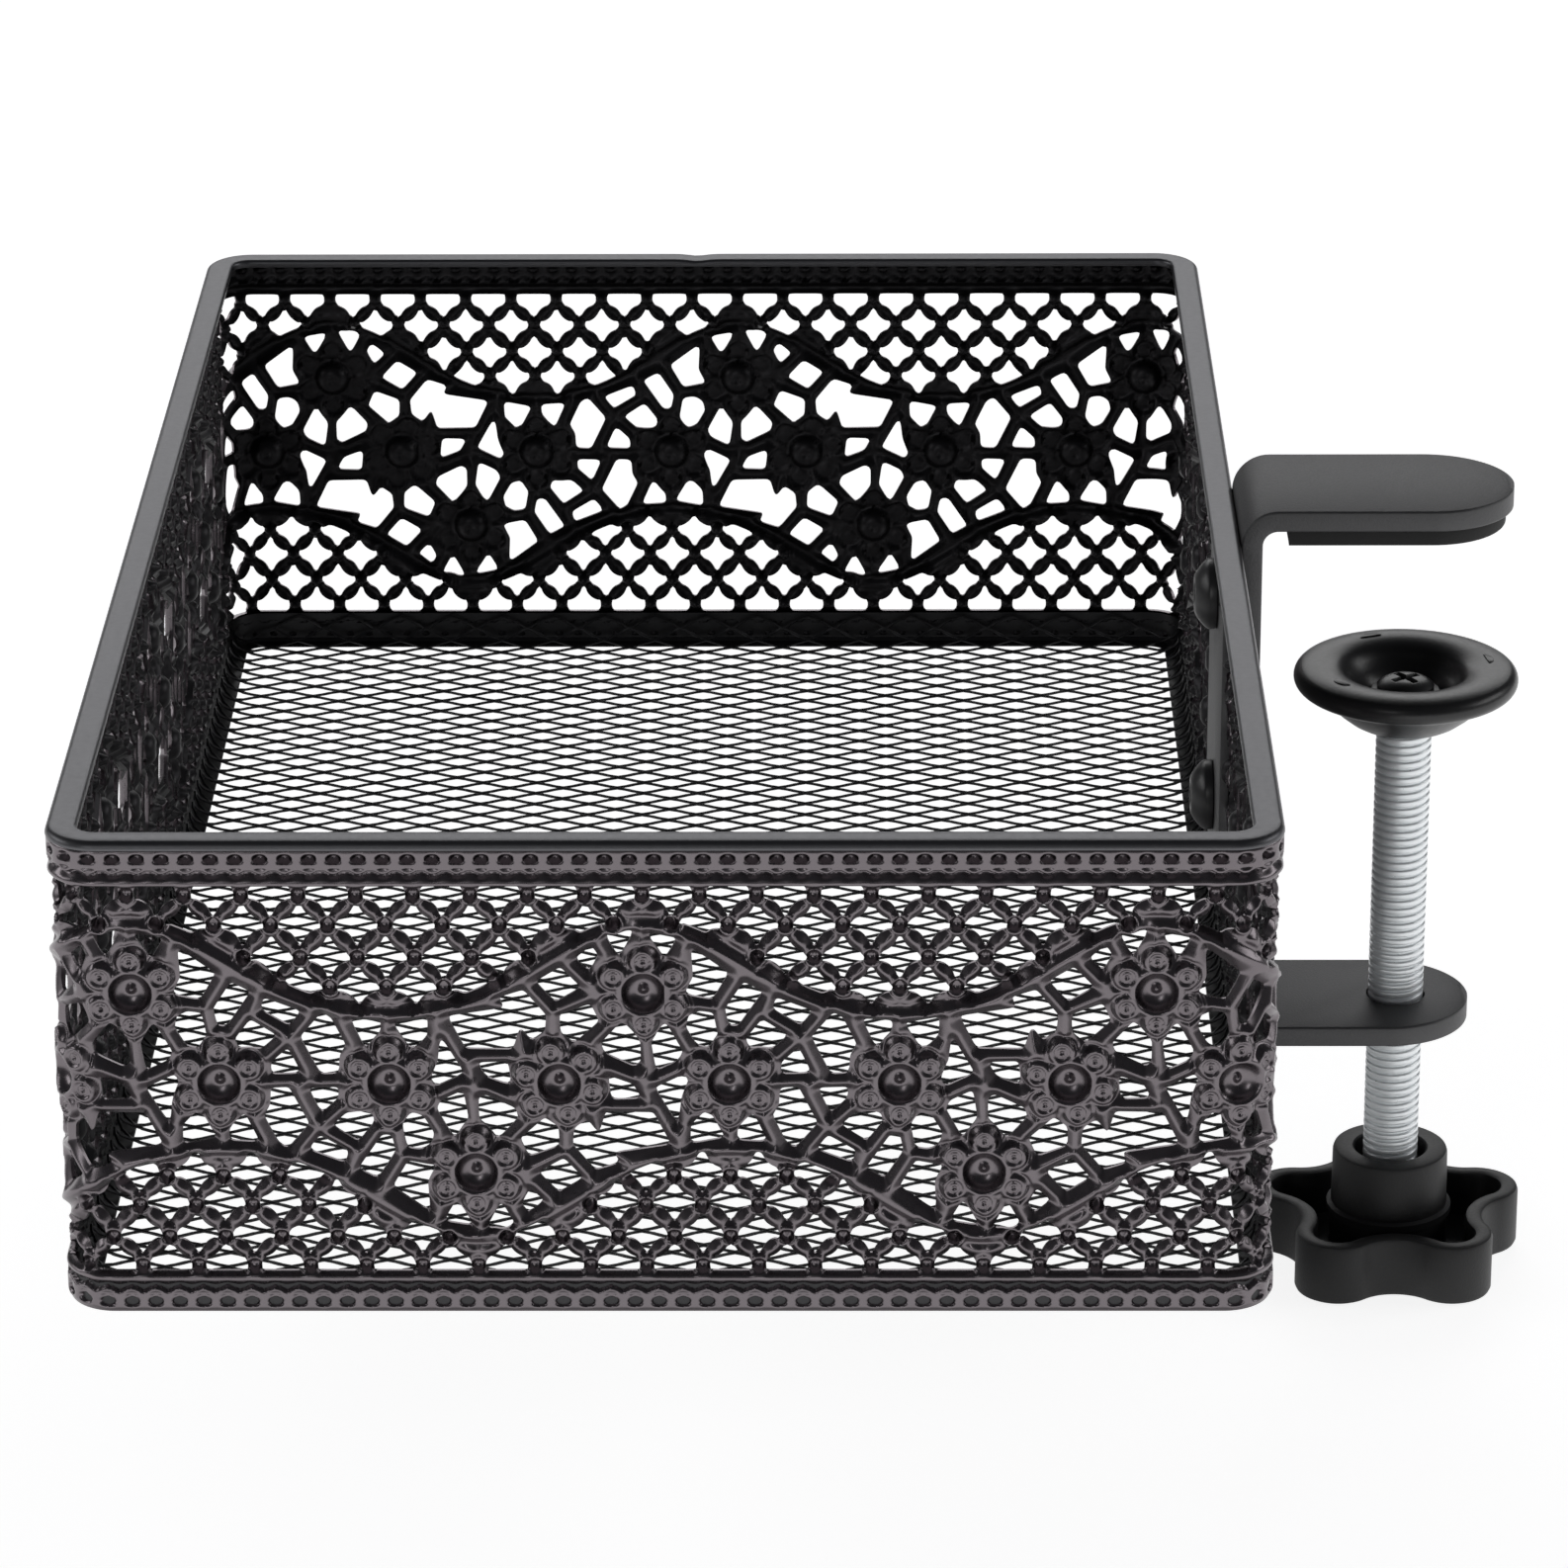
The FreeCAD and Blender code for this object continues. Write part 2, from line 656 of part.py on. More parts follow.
def star_outline(inset, z):
    """Five round lobes joined by hollow arcs that touch them, drawn in from the knob's edge."""
    lobe = size.lobe_radius - inset
    waist = size.valley_radius - inset
    fifth = 2 * math.pi / 5
    across = size.lobe_circle * math.cos(fifth / 2)
    spread = size.lobe_circle**2 + waist**2 - 2 * across * waist - lobe**2
    hollow_circle = waist + spread / (2 * (lobe - waist + across))

    def ray(angle):
        return V(math.cos(angle), math.sin(angle), 0)

    edges = []
    for number in range(5):
        angle = math.pi / 2 + number * fifth
        lobe_at = ray(angle) * size.lobe_circle
        before = ray(angle - fifth / 2) * hollow_circle - lobe_at
        after = ray(angle + fifth / 2) * hollow_circle - lobe_at
        first = lobe_at + before.normalize() * lobe
        last = lobe_at + after.normalize() * lobe
        next_at = ray(angle + fifth) * size.lobe_circle
        following = ray(angle + fifth / 2) * hollow_circle - next_at
        next_first = next_at + following.normalize() * lobe
        edges.append(Part.Arc(first, lobe_at + ray(angle) * lobe, last).toShape())
        edges.append(Part.Arc(last, ray(angle + fifth / 2) * waist, next_first).toShape())
    face = Part.Face(Part.Wire(edges))
    face.translate(V(0, 0, z))
    return face


def star(name, inset, foot, height):
    outline = doc.addObject("Part::Feature", name + "_outline")
    outline.Shape = star_outline(inset, foot)
    prism = doc.addObject("Part::Extrusion", name)
    prism.Base = outline
    prism.DirMode = "Custom"
    prism.Dir = V(0, 0, 1)
    prism.Solid = True
    bind(prism, LengthFwd=height)
    return prism


KNOB_Z = "(-$knob_drop)"
HUB_TOP = "(-$knob_drop + $hub_height)"
knob_body = star("knob_body", 0.0, -size.knob_drop, "$knob_height")
knob_well = star(
    "knob_well", size.knob_wall, -size.knob_drop + size.knob_base, "$knob_height"
)
knob_shell = cut("knob_shell", knob_body, knob_well)
hub = cylinder("knob_hub", "$hub_diameter", "$hub_height", KNOB_Z)
collar = cylinder(
    "knob_collar", "$collar_diameter", "$collar_thick", "%s + $knob_height - 1.6" % KNOB_Z
)
bore = cylinder(
    "knob_bore", "$hub_bore", "$hub_bore_depth + 1", "%s - $hub_bore_depth" % HUB_TOP
)
node("star_knob", cut("star_knob", fuse("knob_solid", knob_shell, hub, collar), bore))

insert_height = "$hub_bore_depth - $insert_drop"
insert_foot = "%s - $hub_bore_depth" % HUB_TOP
insert_ring = cylinder("insert_ring", "$hub_bore", insert_height, insert_foot)
insert_bore = cylinder("insert_bore", "$screw_diameter", insert_height, insert_foot)
node("knob_insert", cut("knob_insert", insert_ring, insert_bore))

# ---------------------------------------------------------------- swivel pad

SCREW_TOP = "(-$screw_top)"
spacer_ring = cylinder("spacer_ring", "$spacer_outer", "$spacer_height", SCREW_TOP)
spacer_bore = cylinder(
    "spacer_bore", "$pin_diameter + 2 * $pin_gap", "$spacer_height", SCREW_TOP
)
node("pad_spacer", cut("pad_spacer", spacer_ring, spacer_bore))

BUSH_Z = "(-$pad_top - $pad_recess_depth - $pad_web / 2 - $bush_height / 2)"
bush_ring = cylinder("bush_ring", "$bush_outer", "$bush_height", BUSH_Z)
bush_bore = cylinder("bush_bore", "$spacer_outer + 2 * $bush_gap", "$bush_height", BUSH_Z)
node("pad_bush", cut("pad_bush", bush_ring, bush_bore))

WASHER_Z = "(-$screw_top + $spacer_height + 0.05)"
washer_ring = cylinder("washer_ring", "$washer_outer", "$washer_thick", WASHER_Z)
washer_bore = cylinder(
    "washer_bore", "$pin_diameter + 2 * $pin_gap", "$washer_thick", WASHER_Z
)
node("thrust_washer", cut("thrust_washer", washer_ring, washer_bore))

HEAD_Z = "(-$screw_top + $spacer_height + $washer_thick + 0.1)"
pin_shank = cylinder("pin_shank", "$pin_diameter", "%s - %s" % (HEAD_Z, SCREW_TOP), SCREW_TOP)
pin_head = cylinder("pin_head", "$pin_head", "$pin_head_height", HEAD_Z)
CROSS_Z = "%s + $pin_head_height - $cross_depth" % HEAD_Z
cross_a = box("cross_a", "$cross_length", "$cross_width", "$cross_depth + 1", "0", "0", CROSS_Z)
cross_b = box("cross_b", "$cross_width", "$cross_length", "$cross_depth + 1", "0", "0", CROSS_Z)
pin_solid = fuse("pin_solid", pin_shank, pin_head)
node("pad_screw", cut("pad_screw", pin_solid, cross_a, cross_b))

PAD_TOP = "(-$pad_top)"
disc = cylinder("pad_disc", "$pad_diameter", "$pad_rim", "%s - $pad_rim" % PAD_TOP)
disc_round = fillet("pad_disc_round", disc, size.pad_rim / 2 - 0.1, lambda edge: edge.Closed)
neck = cone(
    "pad_neck_cone",
    "$pad_foot",
    "$pad_neck",
    "$pad_height - $pad_rim + 0.5",
    "%s - $pad_height" % PAD_TOP,
)
recess = cone(
    "pad_recess_cone",
    "$pad_recess_floor",
    "$pad_recess",
    "$pad_recess_depth + 0.01",
    "%s - $pad_recess_depth" % PAD_TOP,
)
web_bore = cylinder(
    "pad_web_bore", "$bush_outer + 4 * $bush_gap", "$pad_height", "%s - $pad_height" % PAD_TOP
)
socket_bore = cylinder(
    "pad_socket_bore",
    "$pad_socket",
    "$pad_height - $pad_recess_depth - $pad_web",
    "%s - $pad_height" % PAD_TOP,
)
pad_solid = fuse("pad_solid", disc_round, neck)
node("swivel_pad", cut("swivel_pad", pad_solid, recess, web_bore, socket_bore))

# ---------------------------------------------------------------- check and write

doc.recompute()
for ob in doc.Objects:
    if "Invalid" in ob.State or "Error" in ob.State:
        raise RuntimeError("%s: %s" % (ob.Name, ob.State))
for name, ob in nodes.items():
    if ob.Shape.isNull() or not ob.Shape.isValid():
        raise RuntimeError(name + " has no valid shape")

os.makedirs("parts", exist_ok=True)
for name, ob in nodes.items():
    ob.Shape.exportStep("parts/%s.step" % name)
    bound = ob.Shape.BoundBox
    print(
        "%-24s solids %d volume %9.1f x %7.2f %7.2f y %7.2f %7.2f z %7.2f %7.2f"
        % (
            name,
            len(ob.Shape.Solids),
            ob.Shape.Volume,
            bound.XMin,
            bound.XMax,
            bound.YMin,
            bound.YMax,
            bound.ZMin,
            bound.ZMax,
        )
    )
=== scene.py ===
import math

import bmesh
import bpy
import numpy as np
from mathutils import Matrix, Vector


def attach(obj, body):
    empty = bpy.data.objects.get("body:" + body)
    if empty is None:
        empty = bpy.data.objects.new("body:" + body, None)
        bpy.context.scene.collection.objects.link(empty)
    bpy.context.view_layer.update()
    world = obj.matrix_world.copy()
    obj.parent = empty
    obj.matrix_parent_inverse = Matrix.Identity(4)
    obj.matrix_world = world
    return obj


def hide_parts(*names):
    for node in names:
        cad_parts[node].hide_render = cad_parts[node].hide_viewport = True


# The clamp-on basket's looks. Lengths here are millimetres in the part's frame unless a name says
# otherwise; `MM` turns them into metres. The origin is on the clamp screw's axis at the desk top.

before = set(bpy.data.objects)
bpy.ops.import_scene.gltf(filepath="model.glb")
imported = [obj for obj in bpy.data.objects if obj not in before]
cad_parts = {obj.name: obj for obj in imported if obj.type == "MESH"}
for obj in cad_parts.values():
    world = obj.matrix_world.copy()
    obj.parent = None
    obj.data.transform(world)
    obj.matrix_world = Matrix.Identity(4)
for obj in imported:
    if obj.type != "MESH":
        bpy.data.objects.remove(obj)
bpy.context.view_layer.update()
MM = 0.001

# ---------------------------------------------------------------- sizes shared by several pieces

MIDDLE_X = -128.35  # the basket's middle
FRONT_Y = -150.0
BASE_Z = -80.6
WIDTH, DEPTH = 195.0, 300.0
CORNER = 8.5
SHEET = 1.6  # the lace's depth from its crests to the lips of its openings
RIM_WIDTH, RIM_LOW, RIM_TOP = 5.0, 80.45, 81.95
RIM_OUTER, RIM_INNER = 1.25, 0.75  # its roundings

# ---------------------------------------------------------------- materials


def new_material(name, colour, roughness, metallic=0.0, specular=0.5):
    material = bpy.data.materials.new(name)
    material.use_nodes = True
    shader = material.node_tree.nodes["Principled BSDF"]
    shader.inputs["Base Color"].default_value = (*colour, 1)
    shader.inputs["Roughness"].default_value = roughness
    shader.inputs["Metallic"].default_value = metallic
    shader.inputs["Specular IOR Level"].default_value = specular
    return material, material.node_tree, shader


def grain(tree, shader, scale, depth, rough=None):
    """Fine bumps from noise on the object's own coordinates, which may also vary the roughness."""
    place = tree.nodes.new("ShaderNodeTexCoord")
    noise = tree.nodes.new("ShaderNodeTexNoise")
    noise.inputs["Scale"].default_value = scale
    noise.inputs["Detail"].default_value = 4.0
    tree.links.new(place.outputs["Object"], noise.inputs["Vector"])
    bump = tree.nodes.new("ShaderNodeBump")
    bump.inputs["Strength"].default_value = depth
    bump.inputs["Distance"].default_value = 0.0002
    tree.links.new(noise.outputs["Fac"], bump.inputs["Height"])
    tree.links.new(bump.outputs["Normal"], shader.inputs["Normal"])
    if rough:
        spread = tree.nodes.new("ShaderNodeMapRange")
        spread.inputs["To Min"].default_value = rough[0]
        spread.inputs["To Max"].default_value = rough[1]
        tree.links.new(noise.outputs["Fac"], spread.inputs["Value"])
        tree.links.new(spread.outputs["Result"], shader.inputs["Roughness"])


LACE_PAINT, tree, shader = new_material("lace_paint", (0.17, 0.152, 0.162), 0.28, metallic=1.0)
grain(tree, shader, 700, 0.06, rough=(0.23, 0.33))
# The inner faces take the same paint made much darker: painted shade for the basket's shaded inside.
LACE_INSIDE_PAINTED_SHADE, tree, shader = new_material("lace_paint_inside_painted_shade", (0.035, 0.034, 0.036), 0.42, metallic=1.0)
grain(tree, shader, 700, 0.08)
FLOOR_PAINT, tree, shader = new_material("floor_paint", (0.05, 0.05, 0.052), 0.4, metallic=0.8)
grain(tree, shader, 500, 0.1)
RIM_PAINT, tree, shader = new_material("rim_paint", (0.12, 0.12, 0.127), 0.4, metallic=1.0)
grain(tree, shader, 900, 0.06, rough=(0.36, 0.46))
CLAMP_PAINT, tree, shader = new_material("clamp_paint", (0.1, 0.1, 0.102), 0.5, metallic=0.8)
grain(tree, shader, 2600, 0.3, rough=(0.44, 0.6))
SCREW_BLACK, tree, shader = new_material("screw_black", (0.02, 0.02, 0.021), 0.35)
grain(tree, shader, 900, 0.06)
RUBBER, tree, shader = new_material("jaw_rubber", (0.012, 0.012, 0.012), 0.75)
grain(tree, shader, 1500, 0.25)
ZINC, tree, shader = new_material("zinc", (0.93, 0.965, 0.98), 0.3, metallic=0.5)
grain(tree, shader, 1200, 0.12, rough=(0.22, 0.42))
INSERT, tree, shader = new_material("insert_brass", (0.5, 0.4, 0.2), 0.35, metallic=1.0)
grain(tree, shader, 900, 0.08)
KNOB_PLASTIC, tree, shader = new_material("knob_plastic", (0.013, 0.013, 0.0135), 0.48)
grain(tree, shader, 2200, 0.2, rough=(0.42, 0.55))
PAD_PLASTIC, tree, shader = new_material("pad_plastic", (0.012, 0.012, 0.0125), 0.33)
grain(tree, shader, 1400, 0.08, rough=(0.28, 0.4))

# ---------------------------------------------------------------- mesh helpers


def add_mesh(name, points, faces, material, body, replaced=(), smooth=None):
    """A mesh piece from points in millimetres. smooth is the crease angle in degrees."""
    mesh = bpy.data.meshes.new(name)
    points = np.asarray(points, np.float32) * MM
    faces = np.asarray(faces, np.int32)
    mesh.vertices.add(len(points))
    mesh.vertices.foreach_set("co", points.ravel())
    mesh.loops.add(faces.size)
    mesh.loops.foreach_set("vertex_index", faces.ravel())
    mesh.polygons.add(len(faces))
    mesh.polygons.foreach_set("loop_start", np.arange(0, faces.size, faces.shape[1]))
    mesh.update(calc_edges=True)
    mesh.validate()
    return add_piece(name, mesh, material, body, replaced, smooth)


def add_piece(name, mesh, material, body, replaced=(), smooth=None):
    piece = bpy.data.objects.new(name, mesh)
    bpy.context.scene.collection.objects.link(piece)
    mesh.materials.append(material)
    if smooth is not None:
        mesh.shade_smooth()
        mesh.set_sharp_from_angle(angle=math.radians(smooth))
    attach(piece, body)
    if replaced:
        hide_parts(*replaced)
    return piece


def weld(mesh, gap, crease):
    """Joins points closer than gap millimetres, turns the faces outward and smooths the mesh."""
    work = bmesh.new()
    work.from_mesh(mesh)
    bmesh.ops.remove_doubles(work, verts=work.verts, dist=gap * MM)
    bmesh.ops.recalc_face_normals(work, faces=work.faces)
    work.to_mesh(mesh)
    work.free()
    mesh.shade_smooth()
    mesh.set_sharp_from_angle(angle=math.radians(crease))


class Builder:
    """Gathers grids of points into one mesh."""

    def __init__(self):
        self.points, self.faces, self.count = [], [], 0

    def grid(self, points, close_u=False, close_v=False):
        """points is an array of rows by columns by 3; faces join neighbours."""
        points = np.asarray(points, float)
        rows, columns = points.shape[:2]
        ids = np.arange(rows * columns).reshape(rows, columns) + self.count
        if close_u:
            ids = np.vstack([ids, ids[:1]])
        if close_v:
            ids = np.hstack([ids, ids[:, :1]])
        quads = np.stack([ids[:-1, :-1], ids[:-1, 1:], ids[1:, 1:], ids[1:, :-1]], -1)
        quads = quads.reshape(-1, 4)
        self.faces.append(quads)
        self.points.append(points.reshape(-1, 3))
        self.count += rows * columns

    def piece(self, name, material, body, replaced=(), smooth=35, slot=None):
        points, faces = np.vstack(self.points), np.vstack(self.faces)
        made = add_mesh(name, points, faces, material, body, replaced)
        weld(made.data, 0.002, smooth)
        return made


def smoothstep(x):
    x = np.clip(x, 0, 1)
    return x * x * (3 - 2 * x)


def lathe(profile, steps=96):
    """Points of a profile of (radius, z) turned about the vertical axis."""
    profile = np.asarray(profile, float)
    angle = np.linspace(0, 2 * math.pi, steps, endpoint=False)
    x = profile[:, :1] * np.cos(angle)
    y = profile[:, :1] * np.sin(angle)
    z = np.broadcast_to(profile[:, 1:], x.shape)
    return np.stack([x, y, z], -1)


def arc(centre, radius, first, last, steps):
    """Points on an arc in a profile plane; angles in degrees."""
    angle = np.radians(np.linspace(first, last, steps))
    return [(centre[0] + radius * math.cos(a), centre[1] + radius * math.sin(a)) for a in angle]


# ---------------------------------------------------------------- the basket's outline
# t runs along the strip's middle surface, as seen from outside from left to right, from the left
# end of the front wall's flat run.

ARC = math.pi / 2 * (CORNER - SHEET / 2)
RUN_X, RUN_Y = WIDTH - 2 * CORNER, DEPTH - 2 * CORNER
AROUND = 2 * (RUN_X + RUN_Y) + 4 * ARC
LEFT, RIGHT = MIDDLE_X - WIDTH / 2, MIDDLE_X + WIDTH / 2
BACK_Y = FRONT_Y + DEPTH
STARTS = np.cumsum([0, RUN_X, ARC, RUN_Y, ARC, RUN_X, ARC, RUN_Y, ARC])
WALL_NAMES = [
    "lace_front",
    "lace_corner_front_right",
    "lace_right",
    "lace_corner_back_right",
    "lace_back",
    "lace_corner_back_left",
    "lace_left",
    "lace_corner_front_left",
]


def outline(t, offset=0.0):
    """Points on the basket's outer face at t, moved outward by offset."""
    t = np.mod(np.asarray(t, float), AROUND)
    offset = np.broadcast_to(offset, t.shape)
    part = np.clip(np.searchsorted(STARTS, t, side="right") - 1, 0, 7)
    along = t - STARTS[part]
    x, y = np.zeros_like(t), np.zeros_like(t)
    runs = {
        0: (LEFT + CORNER, FRONT_Y, 1, 0, 0, -1),
        2: (RIGHT, FRONT_Y + CORNER, 0, 1, 1, 0),
        4: (RIGHT - CORNER, BACK_Y, -1, 0, 0, 1),
        6: (LEFT, BACK_Y - CORNER, 0, -1, -1, 0),
    }
    for index, (x0, y0, dx, dy, nx, ny) in runs.items():
        here = part == index
        x[here] = x0 + dx * along[here] + nx * offset[here]
        y[here] = y0 + dy * along[here] + ny * offset[here]
    corners = {
        1: (RIGHT - CORNER, FRONT_Y + CORNER, -90),
        3: (RIGHT - CORNER, BACK_Y - CORNER, 0),
        5: (LEFT + CORNER, BACK_Y - CORNER, 90),
        7: (LEFT + CORNER, FRONT_Y + CORNER, 180),
    }
    for index, (x0, y0, start) in corners.items():
        here = part == index
        angle = np.radians(start + 90 * along[here] / ARC)
        x[here] = x0 + (CORNER + offset[here]) * np.cos(angle)
        y[here] = y0 + (CORNER + offset[here]) * np.sin(angle)
    return x, y


# ---------------------------------------------------------------- lace: one period's openings
# s and z are in sixths of a period, z from the strip's middle line. The pattern looks the same
# after half a turn about s = 2, z = 0. Each opening is a rounded polygon.

PERIODS = 12
PERIOD = AROUND / PERIODS
UNIT = PERIOD / 6
STRIP_MIDDLE = 40.4
WINDOWS = [
    [(0.58, 1.68), (0.98, 1.38), (0.80, 1.06), (0.50, 1.12), (0.60, 1.32)],
    [(1.18, 1.25), (1.38, 1.14), (1.10, 0.72), (1.01, 0.72), (0.97, 0.92)],
    [(1.56, 1.05), (1.96, 0.89), (1.84, 0.73), (1.53, 0.92)],
    [(0.65, 0.88), (0.80, 0.86), (0.85, 0.58), (0.75, 0.43), (0.63, 0.47), (0.51, 0.68), (0.54, 0.82)],
    [(1.39, 0.77), (1.67, 0.58), (1.51, 0.43), (1.24, 0.43), (1.21, 0.53)],
    [(1.81, 0.40), (1.94, 0.11), (1.62, 0.10), (1.63, 0.23)],
    [(2.23, 0.86), (2.32, 0.80), (2.48, 0.46), (2.40, 0.32), (2.39, 0.11), (2.20, 0.10), (1.98, 0.56)],
    [(2.58, 0.78), (2.90, 0.76), (2.89, 0.63), (2.73, 0.44)],
    [(3.45, 0.80), (3.44, 0.58), (3.30, 0.43), (3.23, 0.46), (3.08, 0.73)],
    [(3.62, 0.53), (3.86, 0.10), (3.54, -0.06), (3.50, 0.01), (3.59, 0.25)],
    [(4.6, 0.96), (4.45, 0.42), (3.91, 0.43), (3.72, 0.82)],
    [(4.06, 0.22), (4.38, 0.23), (4.41, -0.04), (4.15, 0.06)],
    [(4.59, 1.15), (4.84, 0.84), (4.82, 0.63), (4.68, 0.53), (4.32, 1.06)],
    [(5.03, 1.44), (5.25, 1.20), (4.97, 1.03), (4.76, 1.27)],
    [(5.40, 1.71), (5.46, 1.61), (5.37, 1.43), (5.23, 1.57)],
    [(5.37, 0.97), (5.46, 0.76), (5.18, 0.50), (5.04, 0.61), (5.03, 0.84)],
    [(5.74, 0.74), (5.94, 0.50), (5.94, 0.23), (5.88, 0.20), (5.54, 0.37), (5.51, 0.48)],
    [(0.25, 0.73), (0.44, 0.37), (0.39, 0.27), (0.15, 0.15), (0.10, 0.49)],
    [(0.07, 1.88), (0.38, 1.82), (0.25, 1.59)],
    [(5.58, 1.87), (5.88, 1.92), (5.72, 1.61)],
]
FLOWERS = [(0.0, 1.16, 0), (1.0, 0.0, 0), (3.0, 0.0, 0), (4.0, -1.16, 0), (5.0, 0.0, 14)]
STAR_PITCH = 2 / 3
STAR_ROWS = [2.0, 1.585, 1.2]
STAR_WIDE, STAR_HIGH = 0.232, 0.256
FAN_LEVEL, FAN_TOP = 2.38, 2.475
LIP, LIP_DEPTH = 0.15, 1.7  # a slope's reach and its depth in millimetres
PLATE, PETAL_CIRCLE, PETAL = 0.305, 0.405, 0.142  # radii of a flower's plate and petals
DISH, DISH_DEPTH = 0.245, 2.6
KNOT, KNOT_DEPTH = 0.082, 1.25
LEAF_ARC, LEAF_X, LEAF_Y = 0.267, 0.272, 0.307  # the arcs that bite into a star, and their middles
PLATE_LEVEL, LATTICE_LEVEL = -0.1, -0.2
SHEET_STEEL = 0.55  # the strip's thickness
BEADS = 21
BEAD_LEVEL, BEAD_LINE = 2.862, 2.545


def wave(s):
    """Height of the upper wave's ridge."""
    turn = math.pi * s / 3
    return 1.36 + 0.57 * np.cos(turn) + 0.06 * np.cos(2 * turn)


def wave_slope(s):
    turn = math.pi * s / 3
    return -math.pi / 3 * (0.57 * np.sin(turn) + 0.12 * np.sin(2 * turn))


def wrapped(s, middle):
    """s less middle, brought to within half a period."""
    return np.mod(s - middle + 3, 6) - 3


def polygon_distance(s, z, corners):
    """Signed distance to a polygon, negative inside."""
    middle = sum(c[0] for c in corners) / len(corners)
    x = wrapped(s, middle)
    points = [(c[0] - middle, c[1]) for c in corners]
    nearest = np.full(s.shape, 1e9)
    inside = np.zeros(s.shape, bool)
    for (ax, ay), (bx, by) in zip(points, points[1:] + points[:1]):
        ex, ey = bx - ax, by - ay
        share = np.clip(((x - ax) * ex + (z - ay) * ey) / (ex * ex + ey * ey), 0, 1)
        nearest = np.minimum(nearest, np.hypot(x - ax - share * ex, z - ay - share * ey))
        crosses = (ay > z) != (by > z)
        with np.errstate(divide="ignore", invalid="ignore"):
            at = ax + (z - ay) / (by - ay) * ex if by != ay else np.full(s.shape, 1e9)
        inside ^= crosses & (x < at)
    return np.where(inside, -nearest, nearest)


def star_distance(s, z, middle, level, fan=False):
    """A four-pointed opening between four leaves; a fan has a flat top in place of its point."""
    x, y = wrapped(s, middle), z - level
    bite = np.full(s.shape, 1e9)
    for side_x in (-1, 1):
        for side_y in (-1,) if fan else (-1, 1):
            bite = np.minimum(bite, np.hypot(x - side_x * LEAF_X, y - side_y * LEAF_Y))
    high = FAN_TOP - FAN_LEVEL if fan else STAR_HIGH
    edge = np.maximum(np.abs(x) - STAR_WIDE, np.maximum(y - high, -y - STAR_HIGH))
    return np.maximum(LEAF_ARC - bite, edge)


def upper_half(s, z):
    """Distance to the openings of the pattern's upper half and to its lattice knots."""
    nearest = np.full(s.shape, 1e9)
    for corners in WINDOWS:
        nearest = np.minimum(nearest, polygon_distance(s, z, corners))
    above = (z - wave(s)) / np.sqrt(1 + wave_slope(s) ** 2)
    knots = []
    for column in range(9):
        fan_at = (column + 0.5) * STAR_PITCH
        nearest = np.minimum(nearest, star_distance(s, z, fan_at, FAN_LEVEL, fan=True))
        knots.append((column * STAR_PITCH, FAN_LEVEL + 0.02))
        for row, level in enumerate(STAR_ROWS):
            middle = (column + 0.5 * (row % 2)) * STAR_PITCH
            if level > wave(middle) + 0.05:
                star = np.maximum(star_distance(s, z, middle, level), 0.1 - above)
                nearest = np.minimum(nearest, star)
            side = middle + STAR_PITCH / 2
            if level > wave(side) + 0.02:
                knots.append((side, level + 0.02))
    return nearest, above, knots


def blurred(field, width):
    """Gaussian blur that wraps along s."""
    reach = int(3 * width + 1)
    steps = np.arange(-reach, reach + 1)
    kernel = np.exp(-0.5 * (steps / width) ** 2)
    kernel /= kernel.sum()
    along = sum(k * np.roll(field, step, 0) for k, step in zip(kernel, steps))
    padded = np.pad(along, ((0, 0), (reach, reach)), mode="edge")
    size = field.shape[1]
    return sum(k * padded[:, reach + step : reach + step + size] for k, step in zip(kernel, steps))


def bump(distance, width):
    return np.exp(-((distance / width) ** 2))


